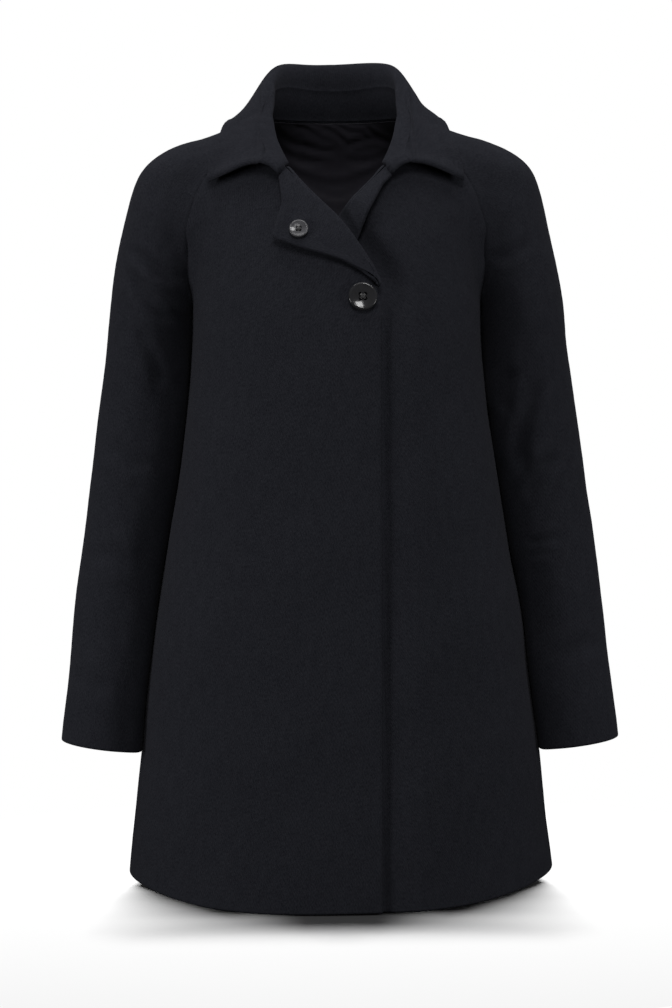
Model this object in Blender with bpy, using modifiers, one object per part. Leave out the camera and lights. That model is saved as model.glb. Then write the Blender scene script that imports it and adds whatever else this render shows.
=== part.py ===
"""A wool overcoat in A-line cut, standing hollow as if worn: raglan sleeves in two halves, a stand collar
with a pointed leaf, a front that closes over itself and is turned back at the neck, and two buttons.

Metres, +Z up. The front faces -Y and the wearer's left is +X. The origin lies between the shoulders at
the height of the side neck. Every cloth piece is a wall on one smooth form: the body and the sleeves are
stacks of ovals that melt into each other over the shoulder, and each panel is a grid of points on them.
"""

import math

import bmesh
import bpy
import numpy as np
from mathutils import Matrix, Vector

# Cloth and seams
WALL = 0.0026
COLLAR_WALL = 0.0028
LINING_WALL = 0.0010
LINING_GAP = 0.0015
SEAM_GAP = 0.0003
NECK_SEAM_GAP = 0.0008
LEAF_SEAM_GAP = 0.0007

# The body, a row for each level
BODY_COLUMNS = ("height", "half_width", "front_depth", "back_depth", "squareness")
BODY_ROWS = (
    (0.040, 0.070, 0.046, 0.066, 2.00),
    (0.005, 0.078, 0.046, 0.074, 2.00),
    (-0.004, 0.106, 0.049, 0.081, 2.00),
    (-0.014, 0.124, 0.056, 0.088, 2.00),
    (-0.030, 0.141, 0.068, 0.097, 2.05),
    (-0.045, 0.149, 0.0785, 0.103, 2.10),
    (-0.085, 0.156, 0.101, 0.114, 2.20),
    (-0.140, 0.152, 0.122, 0.121, 2.25),
    (-0.215, 0.149, 0.139, 0.124, 2.30),
    (-0.340, 0.161, 0.147, 0.126, 2.30),
    (-0.530, 0.1920, 0.156, 0.138, 2.25),
    (-0.800, 0.2230, 0.167, 0.157, 2.20),
)

# A sleeve, a row for each level from the shoulder down past the cuff; a leaning dome closes it above
SLEEVE_COLUMNS = ("height", "centre", "set_back", "half_width", "half_depth")
SLEEVE_ROWS = (
    (-0.065, 0.1640, 0.008, 0.0465, 0.052),
    (-0.100, 0.1720, 0.009, 0.0475, 0.058),
    (-0.145, 0.181, 0.010, 0.0475, 0.060),
    (-0.215, 0.1940, 0.012, 0.0445, 0.060),
    (-0.290, 0.1985, 0.015, 0.0490, 0.058),
    (-0.390, 0.2110, 0.015, 0.0505, 0.056),
    (-0.495, 0.2265, 0.008, 0.0480, 0.053),
    (-0.600, 0.2390, -0.006, 0.0460, 0.050),
    (-0.680, 0.2480, -0.016, 0.0450, 0.048),
)
UNDERARM_HEIGHT = -0.215
CUFF_HEIGHT = -0.643
CUFF_SLOPE = math.radians(7)
SHOULDER_HEIGHT = -0.065
SHOULDER_RISE = 0.0435
SHOULDER_LEAN = 0.33
SLEEVE_SIZE = 0.045
SHOULDER_MELT = 0.030
MELT_FADE = 0.110
NORMAL_RUN = 0.030
SLEEVE_CLEARANCE = 0.0015
SLEEVE_CORNER = 0.006
PRESS_START = 0.004
PRESS_RUN = 0.020

# How far outside the ovals the melted form is looked for: a little by the arm, more over the shoulder
ARM_REACH = 0.006
SHOULDER_REACH = 0.10
SHOULDER_REACH_START = -0.13
REACH_RUN = 0.05
FRONT_REACH = 0.30
SLEEVE_REACH = 0.16
SEARCH_STEPS = 26

# The hem, level round the back, dipping at the front, and a little higher at the wearer's left
HEM_HEIGHT = -0.774
HEM_DIP = 0.020
HEM_LEFT_RISE = 0.003

# Soft flutes of the swinging hem, a row for each: where it lies round the body, how wide, how deep
FLUTE_COLUMNS = ("turn", "spread", "depth", "top")
FLUTE_ROWS = (
    (-62.0, 15.0, 0.0022, -0.42),
    (-30.0, 12.0, -0.0030, -0.34),
    (28.0, 12.0, -0.0045, -0.30),
    (55.0, 11.0, 0.0060, -0.34),
    (78.0, 11.0, -0.0040, -0.40),
)
FLUTE_GROWTH = 1.4

# The neck seam, a row for each direction round the neck
NECK_COLUMNS = ("turn", "height")
NECK_ROWS = (
    (-58.7, -0.0534),
    (-45.0, -0.0290),
    (-27.0, -0.0040),
    (0.0, 0.0040),
    (40.0, 0.0090),
    (90.0, 0.0100),
)

# The raglan seams, rows from the neck to the underarm: how far each lies from the fold under the arm
RAGLAN_COLUMNS = ("height", "ahead")
RAGLAN_FRONT_ROWS = (
    (-0.004, 13.0),
    (-0.040, 7.5),
    (-0.080, 5.0),
    (-0.120, 3.4),
    (-0.160, 2.8),
    (-0.192, 2.2),
    (-0.215, 0.0),
)
RAGLAN_BACK_ROWS = (
    (0.0093, 30.0),
    (-0.040, 16.0),
    (-0.080, 11.0),
    (-0.120, 8.0),
    (-0.160, 6.0),
    (-0.192, 4.0),
    (-0.215, 0.0),
)
RAGLAN_PACE = 1.15
NECK_FRONT_TURN = -27.0
NECK_BACK_TURN = 52.0
NECK_EASE_SHARE = 1 / 3
FOLD_TOP = -0.075
FOLD_SEARCH_TURN = 60.0

# The middle of the sleeve where it crosses the shoulder, a row for each stage from neck to underarm
SHOULDER_COLUMNS = ("stage", "across", "set_back", "height", "lean")
SHOULDER_ROWS = (
    (0.00, 0.080, 0.008, -0.050, 88.0),
    (0.25, 0.108, 0.008, -0.066, 72.0),
    (0.50, 0.142, 0.008, -0.092, 52.0),
    (0.75, 0.172, 0.010, -0.140, 26.0),
    (1.00, 0.1945, 0.012, -0.210, 7.0),
)
OVERARM_FORWARD = math.radians(7)
OVERARM_NECK_TURN = -4.0
SEAM_SPREAD = 0.003
YOKE_SPREAD = 0.25
YOKE_SPREAD_PACE = 1.5

# The front closing, seen from the front: each front reaches past the middle, and its neck corner turns back
EDGE_REACH_TOP = 0.044
EDGE_REACH_HEM = 0.0405
ROLL_COLUMNS = ("height", "across")
ROLL_ROWS = (
    (-0.0534, -0.0505),
    (-0.0780, -0.0270),
    (-0.1065, -0.0005),
    (-0.1370, 0.0227),
    (-0.1653, 0.0402),
    (-0.1765, 0.0438),
)
ROLL_RADIUS = 0.0032
ROLL_CLOSING = 0.35
ROLL_CLOSING_START = 0.8
ROLL_SEAM_GAP = 0.0006
NECK_TURNS = (-33.0, -42.0, -51.0)

# The under front lies inside the form by these depths, deepest behind the turned-back neck
UNDER_TUCK = 0.0042
NECK_TUCK = 0.0118
NECK_TUCK_HEIGHT = -0.225
NECK_TUCK_RUN = 0.075
TUCK_MARGIN = 0.004
TUCK_RUN = 0.034

# The turned-back corners, a row for each stage down the roll line: edge seen from the front, and its lift
LAPEL_COLUMNS = ("stage", "across", "height", "lift")
LAPEL_RIGHT_ROWS = (
    (0.00, -0.0555, -0.0690, 0.008),
    (0.25, -0.0520, -0.0945, 0.009),
    (0.50, -0.0612, -0.1305, 0.011),
    (0.66, -0.0325, -0.1410, 0.009),
    (0.82, 0.0045, -0.1520, 0.007),
    (1.00, 0.0370, -0.1690, 0.005),
)
LAPEL_LEFT_ROWS = (
    (0.00, -0.0550, -0.0680, 0.006),
    (0.20, -0.0460, -0.0780, 0.010),
    (0.40, -0.0380, -0.0935, 0.012),
    (0.60, -0.0305, -0.1080, 0.012),
    (0.80, -0.0245, -0.1220, 0.009),
    (1.00, -0.0170, -0.1370, 0.0042),
)
LAPEL_LEFT_END = 0.62
LAPEL_START = 0.0056

# The collar, a row for each stage from the middle of the back to its front end: the neck seam, the ridge
# where it folds, its leaf's edge, how far past the ridge the leaf's seam lies, its roll's pull and tilt, and
# how far the leaf bows out
COLLAR_COLUMNS = (
    "stage", "turn", "drop", "lift",
    "ridge_x", "ridge_y", "ridge_z",
    "edge_x", "edge_y", "edge_z",
    "seam", "pull", "tilt", "bow",
)
COLLAR_ROWS = (
    (0.00, 90.0, 0.0000, 0.0000, 0.0000, 0.0790, 0.0700, 0.0000, 0.1080, -0.0040, -0.0330, 0.0100, 0.00, 0.0065),
    (0.18, 66.0, 0.0000, 0.0000, 0.0350, 0.0720, 0.0700, 0.0490, 0.1000, -0.0020, -0.0320, 0.0100, 0.00, 0.0065),
    (0.36, 40.0, 0.0000, 0.0000, 0.0605, 0.0470, 0.0640, 0.0860, 0.0660, 0.0020, -0.0250, 0.0100, 0.00, 0.0060),
    (0.53, 8.0, 0.0000, 0.0000, 0.0680, 0.0090, 0.0410, 0.1040, 0.0200, 0.0000, -0.0100, 0.0105, 0.00, 0.0040),
    (0.68, -20.0, 0.0000, 0.0000, 0.0670, -0.0210, 0.0140, 0.1165, -0.0240, -0.0120, 0.0060, 0.0105, 0.05, 0.0015),
    (0.81, -42.0, 0.0000, 0.0000, 0.0630, -0.0530, -0.0160, 0.1240, -0.0520, -0.0330, 0.0135, 0.0160, 0.35, 0.0040),
    (0.92, -58.0, 0.0000, 0.0040, 0.0535, -0.0875, -0.0490, 0.1285, -0.0600, -0.0510, 0.0190, 0.0255, 0.85, 0.0095),
    (1.00, -56.0, -0.0115, 0.0090, 0.0590, -0.0960, -0.0610, 0.1295, -0.0680, -0.0670, 0.0215, 0.0310, 1.15, 0.0140),
)
LEAF_LIFT = 0.0032
LEAF_BOW_SHARE = 0.35
LEAF_CLEAR_SHARE = 1 / 5
STAND_PULL_SHARE = 0.4

# Buttons: four holes each
BUTTON_COLUMNS = ("across", "height", "diameter", "thickness")
LARGE_BUTTON = dict(zip(BUTTON_COLUMNS, (0.0256, -0.1875, 0.0285, 0.0042)))
SMALL_BUTTON = dict(zip(BUTTON_COLUMNS, (-0.0367, -0.1206, 0.0190, 0.0034)))
SMALL_BUTTON_STALK = 0.0008
BUTTON_SIDES = 32
HOLE_SHARE = 0.055
HOLE_SPACING_SHARE = 0.115
HOLE_SIDES = 10

# The lining inside the back: where its sides lie at each level, and how far it stops short of neck and hem
LINING_COLUMNS = ("height", "turn")
LINING_SIDES = (
    (0.010, 14.0),
    (-0.020, 24.0),
    (-0.060, 34.0),
    (-0.120, 32.0),
    (-0.200, 20.0),
    (-0.260, 6.0),
    (-0.780, 5.0),
)
LINING_HEM = 0.025
LINING_NECK = 0.0015
LINING_PACE = 1.2

# Grid steps
YOKE_STEPS = 11
FRONT_STEPS = 14
BACK_STEPS = 20
SKIRT_STEPS = 11
SLEEVE_STEPS = 8
ARM_STEPS = 11
COLLAR_STEPS = 44
STAND_STEPS = 8
LEAF_STEPS = 9
RIDGE_STEP = 40
EDGE_STEP = 60
LAPEL_STEPS = 12
LAPEL_FOLD_STEPS = 4
LAPEL_FLAT_STEPS = 5
ROLL_MEASURE_STEPS = 201
LINING_STEPS = 20
LINING_ROWS = 20

WOOL = (0.0113, 0.0122, 0.0160)
SATIN = (0.0060, 0.0058, 0.0075)
HORN = (0.0350, 0.0350, 0.0360)


def smooth(rows, columns, name, at, key=None):
    """The value of a table's column at the given key values, on a monotone cubic through its rows."""
    table = np.array(sorted(rows), float)
    keys = table[:, columns.index(key or columns[0])]
    values = table[:, columns.index(name)]
    at = np.clip(np.asarray(at, float), keys[0], keys[-1])
    gaps = np.diff(keys)
    slopes = np.diff(values) / gaps
    tangents = np.empty(len(keys))
    tangents[0], tangents[-1] = slopes[0], slopes[-1]
    before, after = slopes[:-1], slopes[1:]
    same_way = before * after > 0
    mean = 2 * before * after / np.where(same_way, before + after, 1)
    tangents[1:-1] = np.where(same_way, mean, 0)
    i = np.clip(np.searchsorted(keys, at, side="right") - 1, 0, len(gaps) - 1)
    t = (at - keys[i]) / gaps[i]
    return (
        values[i] * (1 + 2 * t) * (1 - t) ** 2
        + tangents[i] * gaps[i] * t * (1 - t) ** 2
        + values[i + 1] * t * t * (3 - 2 * t)
        + tangents[i + 1] * gaps[i] * t * t * (t - 1)
    )


def flowing(rows, columns, name, at):
    """The value of a table's column at the given key values, on the smoothest cubic through its rows."""
    table = np.array(rows, float)
    keys, values = table[:, 0], table[:, columns.index(name)]
    gaps = np.diff(keys)
    count = len(keys)
    system = np.eye(count)
    pull = np.zeros(count)
    for i in range(1, count - 1):
        system[i, i - 1 : i + 2] = gaps[i - 1], 2 * (gaps[i - 1] + gaps[i]), gaps[i]
        pull[i] = 6 * ((values[i + 1] - values[i]) / gaps[i] - (values[i] - values[i - 1]) / gaps[i - 1])
    bend = np.linalg.solve(system, pull)
    at = np.asarray(at, float)
    i = np.clip(np.searchsorted(keys, at, side="right") - 1, 0, count - 2)
    left, right = keys[i + 1] - at, at - keys[i]
    return (
        (bend[i] * left**3 + bend[i + 1] * right**3) / (6 * gaps[i])
        + (values[i] / gaps[i] - bend[i] * gaps[i] / 6) * left
        + (values[i + 1] / gaps[i] - bend[i + 1] * gaps[i] / 6) * right
    )


def ease(t):
    """0 to 1 with a soft start and end."""
    t = np.clip(t, 0, 1)
    return t * t * (3 - 2 * t)


def unit(v):
    return v / np.maximum(np.linalg.norm(v, axis=-1, keepdims=True), 1e-12)


def body_share(p):
    """Under 0 inside the body's ovals and over 0 outside, as a share of their size."""
    x, y, z = np.moveaxis(p, -1, 0)
    width, front, back, square = (smooth(BODY_ROWS, BODY_COLUMNS, n, z) for n in BODY_COLUMNS[1:])
    depth = np.where(y < 0, front, back)
    return ((np.abs(x) / width) ** square + (np.abs(y) / depth) ** square) ** (1 / square) - 1


def sleeve_share(p):
    """The same for the sleeves' ovals and their domes, on either side."""
    x, y, z = np.moveaxis(p, -1, 0)
    level = np.minimum(z, SHOULDER_HEIGHT)
    above = z - level
    centre, back, width, depth = (smooth(SLEEVE_ROWS, SLEEVE_COLUMNS, n, level) for n in SLEEVE_COLUMNS[1:])
    across = np.abs(x) - centre + SHOULDER_LEAN * above
    return np.sqrt((across / width) ** 2 + ((y - back) / depth) ** 2 + (above / SHOULDER_RISE) ** 2) - 1


def slope_of(function, p, step=2e-4):
    """The gradient of a function of points."""
    parts = []
    for axis in range(3):
        move = np.zeros(3)
        move[axis] = step
        parts.append((function(p + move) - function(p - move)) / (2 * step))
    return np.stack(parts, axis=-1)


def melt(a, b, radius):
    """The nearer of two distances, rounded where they meet."""
    radius = np.maximum(radius, 1e-6)
    near = np.maximum(radius - np.abs(a - b), 0) / radius
    return np.minimum(a, b) - near**2 * radius / 4


def body_distance(p):
    """How far points lie outside the body, in metres near its surface."""
    return body_share(p) / np.maximum(np.linalg.norm(slope_of(body_share, p), axis=-1), 1e-6)


def arm_distance(p):
    """The same for the sleeves."""
    return sleeve_share(p) * SLEEVE_SIZE


def coat_distance(p):
    """Body and sleeves as one form, melting together above the underarm."""
    rise = ease((p[..., 2] - UNDERARM_HEIGHT) / MELT_FADE)
    return melt(body_distance(p), arm_distance(p), SHOULDER_MELT * rise)


def sleeve_distance(p):
    """The sleeve below the underarm, pressed clear of the body."""
    drop = ease((UNDERARM_HEIGHT + PRESS_START - p[..., 2]) / PRESS_RUN)
    clear = SLEEVE_CLEARANCE * drop - body_distance(p)
    return -melt(-arm_distance(p), -clear, SLEEVE_CORNER * drop)


def cast(origins, directions, distance, inside, outside):
    """Where rays from inside a form leave it, between an inner and an outer reach."""
    directions = unit(directions)
    inside = np.broadcast_to(inside, origins.shape[:-1])
    outside = np.broadcast_to(outside, origins.shape[:-1])
    for _ in range(SEARCH_STEPS):
        middle = (inside + outside) / 2
        out = distance(origins + directions * middle[..., None]) > 0
        outside = np.where(out, middle, outside)
        inside = np.where(out, inside, middle)
    return origins + directions * inside[..., None]


def flutes(turn, height):
    """How far the hem's flutes push the skirt out."""
    push = np.zeros(np.shape(turn))
    for row in FLUTE_ROWS:
        middle, spread, depth, top = row
        down = np.clip((top - height) / (top - HEM_HEIGHT), 0, 1)
        push = push + depth * down**FLUTE_GROWTH * np.exp(-(((turn - middle) / spread) ** 2))
    return push


def body_rays(turn, height):
    """Level rays from the middle line, and how far each runs inside the body's ovals."""
    angle = np.radians(turn)
    rays = np.stack([np.cos(angle), np.sin(angle), np.zeros(angle.shape)], axis=-1)
    origins = np.stack([np.zeros(angle.shape), np.zeros(angle.shape), height], axis=-1)
    near = 1e-3
    return origins, rays, near / (body_share(origins + rays * near) + 1)


def cloth_normals(points, own):
    """Normals of the melted form, turning to those of the body or sleeve itself at the underarm."""
    rise = ease((points[..., 2:] - UNDERARM_HEIGHT) / NORMAL_RUN)
    return unit(unit(slope_of(own, points)) * (1 - rise) + unit(slope_of(coat_distance, points)) * rise)


def on_body(turn, height):
    """Points of the body for directions in degrees (0 at the side, -90 at the front), and normals."""
    turn, height = np.broadcast_arrays(np.asarray(turn, float), np.asarray(height, float))
    origins, rays, radius = body_rays(turn, height)
    reach = ARM_REACH * ease((height - UNDERARM_HEIGHT) / REACH_RUN)
    reach = reach + SHOULDER_REACH * ease((height - SHOULDER_REACH_START) / REACH_RUN)
    points = cast(origins, rays, coat_distance, radius, radius + reach)
    normals = cloth_normals(points, body_distance)
    return points + normals * flutes(turn, height)[..., None], normals


def at_front(across, height):
    """Points of the coat's front for places seen from the front, and normals."""
    across, height = np.broadcast_arrays(np.asarray(across, float), np.asarray(height, float))
    origins = np.stack([across, np.zeros(across.shape), height], axis=-1)
    forward = np.broadcast_to([0.0, -1.0, 0.0], origins.shape)
    points = cast(origins, forward, coat_distance, 0.0, FRONT_REACH)
    return points, cloth_normals(points, body_distance)


def turn_at_front(across, height):
    """The direction round the body, in degrees, of a place seen from the front."""
    point = at_front(across, height)[0]
    return np.degrees(np.arctan2(point[..., 1], point[..., 0]))


def neck_height(turn):
    return smooth(NECK_ROWS, NECK_COLUMNS, "height", turn)


def hem_height(turn, side):
    """The hem's level, for turns counted from the wearer's left (side 1) or right (side -1)."""
    turn = np.radians(turn)
    return HEM_HEIGHT - HEM_DIP * ease(-np.sin(turn)) + HEM_LEFT_RISE * (1 + side * np.cos(turn)) / 2


def fold_turn(height, way):
    """The direction in which body and sleeve meet in front of the arm (-1) or behind it (1), in degrees."""
    height = np.minimum(np.asarray(height, float), FOLD_TOP)
    near, far = np.zeros(height.shape), np.full(height.shape, FOLD_SEARCH_TURN * way)
    for _ in range(SEARCH_STEPS):
        turn = (near + far) / 2
        origins, rays, radius = body_rays(turn, height)
        on_sleeve = sleeve_share(origins + rays * radius[..., None]) < 0
        near = np.where(on_sleeve, turn, near)
        far = np.where(on_sleeve, far, turn)
    return far


def raglan(front, stages):
    """Turn and height along a raglan seam, for stages from 0 at the neck to 1 at the underarm."""
    rows = RAGLAN_FRONT_ROWS if front else RAGLAN_BACK_ROWS
    way = -1 if front else 1
    top, bottom = rows[0][0], rows[-1][0]
    heights = top + (bottom - top) * np.asarray(stages) ** RAGLAN_PACE
    turns = fold_turn(heights, way) + way * smooth(rows, RAGLAN_COLUMNS, "ahead", heights)
    turns[-1] = 0.0
    neck = NECK_FRONT_TURN if front else NECK_BACK_TURN
    near_neck = np.maximum(1 - np.asarray(stages) / NECK_EASE_SHARE, 0)
    return turns + (neck - turns[0]) * near_neck**2, heights


def stages(count):
    return np.linspace(0, 1, count + 1)


def inset(grid, top=False, first=False, last=False):
    """The grid with its seam edges drawn in by half a seam gap."""
    grid = grid.copy()
    half = SEAM_GAP / 2
    if first:
        grid[:, 0] += half * unit(grid[:, 1] - grid[:, 0])
    if last:
        grid[:, -1] += half * unit(grid[:, -2] - grid[:, -1])
    if top:
        grid[0] += half * unit(grid[1] - grid[0])
    return grid


def roll_line(steps, shift=0.0):
    """The roll line seen from the front, moved in from its nose by a shift: across and height."""
    heights = np.linspace(ROLL_ROWS[0][0], ROLL_ROWS[-1][0], steps)
    across = smooth(ROLL_ROWS, ROLL_COLUMNS, "across", heights)
    along = unit(np.stack([np.gradient(across), np.gradient(heights)], axis=-1))
    return across + along[:, 1] * shift, heights - along[:, 0] * shift


def front_grid(tuck, side):
    """One front in its own side's terms: +X is what it covers, and its edge lies past the middle."""
    seam_turn, seam_height = raglan(True, stages(YOKE_STEPS))
    roll_across, roll_height = roll_line(YOKE_STEPS - 1 - len(NECK_TURNS), ROLL_RADIUS + ROLL_SEAM_GAP)
    edge_height = np.concatenate([neck_height(NECK_TURNS), roll_height, seam_height[-2:]])
    edge_turn = np.concatenate(
        [
            NECK_TURNS,
            turn_at_front(-roll_across, roll_height),
            turn_at_front(-np.full(2, EDGE_REACH_TOP), seam_height[-2:]),
        ]
    )
    share = stages(FRONT_STEPS)
    turn = seam_turn[:, None] + (edge_turn - seam_turn)[:, None] * share
    height = seam_height[:, None] + (edge_height - seam_height)[:, None] * share
    down = stages(SKIRT_STEPS)[1:, None]
    reach = EDGE_REACH_TOP + (EDGE_REACH_HEM - EDGE_REACH_TOP) * down[:, 0]
    skirt_drop = (HEM_HEIGHT - HEM_DIP - UNDERARM_HEIGHT) * down[:, 0]
    skirt_edge = turn_at_front(-reach, UNDERARM_HEIGHT + skirt_drop)
    skirt_turn = skirt_edge[:, None] * share
    skirt_height = UNDERARM_HEIGHT + (hem_height(skirt_turn, side) - UNDERARM_HEIGHT) * down
    points, normals = on_body(np.concatenate([turn, skirt_turn]), np.concatenate([height, skirt_height]))
    if tuck:
        points = points - normals * tuck_depth(points)[..., None]
    return points, normals


def tuck_depth(points):
    """How far the under front lies inside the form, deepest behind the turned-back neck."""
    x, _, z = np.moveaxis(points, -1, 0)
    neck = ease((z - NECK_TUCK_HEIGHT) / NECK_TUCK_RUN)
    depth = UNDER_TUCK + (NECK_TUCK - UNDER_TUCK) * neck
    roll = smooth(ROLL_ROWS, ROLL_COLUMNS, "across", z)
    covered = np.where(z > ROLL_ROWS[-1][0], roll, EDGE_REACH_TOP)
    return depth * ease(1 - (x - covered - TUCK_MARGIN) / TUCK_RUN)


def back_grid():
    """The back, from the wearer's left raglan and side seam to the right one."""
    seam_turn, seam_height = raglan(False, stages(YOKE_STEPS))
    share = stages(BACK_STEPS)
    turn = seam_turn[:, None] + (180 - 2 * seam_turn)[:, None] * share
    height = np.repeat(seam_height[:, None], BACK_STEPS + 1, axis=1)
    height[0] = neck_height(np.minimum(turn[0], 180 - turn[0]))
    down = stages(SKIRT_STEPS)[1:, None]
    skirt_turn = np.repeat((180 * share)[None], SKIRT_STEPS, axis=0)
    skirt_height = UNDERARM_HEIGHT + (hem_height(skirt_turn, 1) - UNDERARM_HEIGHT) * down
    turn = np.concatenate([turn, skirt_turn])
    own_turn = np.where(turn > 90, 180 - turn, turn)
    points, normals = on_body(own_turn, np.concatenate([height, skirt_height]))
    mirror = np.where(turn > 90, -1.0, 1.0)
    points[..., 0] *= mirror
    normals[..., 0] *= mirror
    return points, normals


def sleeve_grid(front):
    """The front or back half of a sleeve, from its overarm seam to its raglan and underarm seam."""
    seam_turn, seam_height = raglan(front, stages(YOKE_STEPS))
    seam = on_body(seam_turn, seam_height)[0]
    way = -1.0 if front else 1.0
    share = stages(SLEEVE_STEPS)
    neck_turn = OVERARM_NECK_TURN + (seam_turn[0] - OVERARM_NECK_TURN) * share
    points, normals = [], []
    top, top_normals = on_body(neck_turn, neck_height(neck_turn))
    points.append(top)
    normals.append(top_normals)
    for stage, target in list(zip(stages(YOKE_STEPS), seam))[1:]:
        names = SHOULDER_COLUMNS[1:]
        across, back, height, lean = (smooth(SHOULDER_ROWS, SHOULDER_COLUMNS, n, stage) for n in names)
        centre = np.array([across, back, height])
        row, row_normals = sleeve_row(centre, math.radians(float(lean)), way, share, target, float(stage))
        points.append(row)
        normals.append(row_normals)
    for stage in stages(ARM_STEPS)[1:]:
        height = UNDERARM_HEIGHT + (CUFF_HEIGHT - UNDERARM_HEIGHT) * stage
        across, back = (smooth(SLEEVE_ROWS, SLEEVE_COLUMNS, n, height) for n in ("centre", "set_back"))
        centre = np.array([across, back, height])
        row, row_normals = sleeve_row(centre, CUFF_SLOPE, way, share, None, 1.0)
        points.append(row)
        normals.append(row_normals)
    return np.array(points), np.array(normals)


def sleeve_row(centre, lean, way, share, target, stage):
    """One row round the sleeve's middle, from the overarm seam to the seam point, or half way round."""
    out = np.array([math.cos(lean), 0.0, math.sin(lean)])
    side = np.array([0.0, way, 0.0])
    along = np.cross(out, side)
    start = -way * OVERARM_FORWARD
    if target is None:
        end, drift = math.pi, 0.0
    else:
        aim = target - centre
        end = math.atan2(aim @ side, aim @ out)
        end += 2 * math.pi * (end < -0.5)
        drift = (aim @ along) / math.hypot(aim @ out, aim @ side)
    turn = start + (end - start) * share
    directions = (
        np.cos(turn)[:, None] * out + np.sin(turn)[:, None] * side + (drift * share**2)[:, None] * along
    )
    spread = SEAM_SPREAD + YOKE_SPREAD * (1 - stage) ** YOKE_SPREAD_PACE

    def yoke_distance(p):
        return np.maximum(coat_distance(p), arm_distance(p) - spread)

    form = yoke_distance if stage < 1 else sleeve_distance
    row = cast(np.broadcast_to(centre, directions.shape), directions, form, 0.0, SLEEVE_REACH)
    if target is not None:
        row[-1] = target
    return row, cloth_normals(row, sleeve_distance)


def lapel_grid(rows, end, tuck):
    """The middle of a turned-back corner's wall, in its own side's terms: round the roll, then flat."""
    stage = stages(LAPEL_STEPS)
    fine_across, fine_height = roll_line(ROLL_MEASURE_STEPS)
    length = np.concatenate([[0], np.cumsum(np.hypot(np.diff(fine_across), np.diff(fine_height)))])
    at = LAPEL_START + (end * length[-1] - LAPEL_START) * stage
    across, height = np.interp(at, length, fine_across), np.interp(at, length, fine_height)
    base, normals = at_front(-across, height)
    edge_across, edge_height, lift = (np.interp(stage, *np.array(rows).T[[0, n]]) for n in (1, 2, 3))
    if tuck:
        base = base - normals * tuck_depth(base)[:, None]
    along = unit(np.gradient(base, axis=0))
    nose = unit(np.cross(normals, along))
    nose = nose * np.sign(nose[:, 2:])
    closing = ease((stage * end - ROLL_CLOSING_START) / (1 - ROLL_CLOSING_START))
    radius = ROLL_RADIUS * (1 - ROLL_CLOSING * closing)[:, None]
    centre = base - nose * ROLL_RADIUS + normals * (radius - WALL / 2)
    first = SEAM_GAP / ROLL_RADIUS - math.pi / 2
    grid = [
        centre + radius * (math.cos(angle) * nose + math.sin(angle) * normals)
        for angle in np.linspace(first, math.pi / 2, LAPEL_FOLD_STEPS + 1)
    ]
    start = grid[-1]
    for share in stages(LAPEL_FLAT_STEPS)[1:]:
        flat_across = start[:, 0] + (-edge_across - start[:, 0]) * share
        flat_height = start[:, 2] + (edge_height - start[:, 2]) * share
        under, under_normals = at_front(flat_across, flat_height)
        if tuck:
            under = under - under_normals * tuck_depth(under)[:, None]
        level = 2 * radius - WALL / 2
        grid.append(under + under_normals * (level + (lift[:, None] - level) * share))
    return np.array(grid)


def curve(controls, steps):
    """Points of a cubic curve with four controls, a line of controls for each section."""
    t = stages(steps)[:, None, None]
    a, b, c, d = controls
    return a * (1 - t) ** 3 + 3 * b * t * (1 - t) ** 2 + 3 * c * t**2 * (1 - t) + d * t**3


def collar_sections():
    """Fine section lines of one side of the collar, from the neck seam over the ridge to its edge."""
    stage = stages(COLLAR_STEPS // 2)
    value = {}
    for name in COLLAR_COLUMNS[1:]:
        through = smooth if name in ("turn", "drop", "lift") else flowing
        value[name] = through(COLLAR_ROWS, COLLAR_COLUMNS, name, stage)[:, None]
    ridge = np.concatenate([value["ridge_x"], value["ridge_y"], value["ridge_z"]], axis=1)
    edge = np.concatenate([value["edge_x"], value["edge_y"], value["edge_z"]], axis=1)
    turn = value["turn"][:, 0]
    neck, normals = on_body(turn, neck_height(turn) + value["drop"][:, 0])
    rise = unit(np.cross(normals, unit(np.gradient(neck, axis=0))))
    rise = rise * np.sign(rise[:, 2:])
    neck = neck + normals * (value["lift"] - WALL / 2) + rise * NECK_SEAM_GAP
    short = np.maximum(LEAF_LIFT - coat_distance(edge), 0)[:, None]
    edge = edge + unit(slope_of(coat_distance, edge)) * short
    over = (edge - ridge) * np.array([1.0, 1.0, 0.0])
    over = unit(unit(over) + np.array([0.0, 0.0, 1.0]) * value["tilt"])
    reach = np.linalg.norm(ridge - neck, axis=1, keepdims=True)
    pulled = ridge - over * np.minimum(value["pull"], reach * STAND_PULL_SHARE)
    inner = curve((neck, neck + rise * reach * STAND_PULL_SHARE, pulled, ridge), RIDGE_STEP)
    hang = edge + (ridge - edge) * LEAF_BOW_SHARE
    hang = hang + unit(slope_of(coat_distance, hang)) * value["bow"]
    outer = curve((ridge, ridge + over * value["pull"], hang, edge), EDGE_STEP)
    clear = LEAF_LIFT * ease(stages(EDGE_STEP)[:, None] / LEAF_CLEAR_SHARE)
    short = -melt(coat_distance(outer) - clear, np.zeros(clear.shape), LEAF_LIFT)
    outer = outer + unit(slope_of(coat_distance, outer)) * np.maximum(short, 0)[..., None]
    return np.concatenate([inner, outer[1:]]), value["seam"][:, 0]


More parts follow.
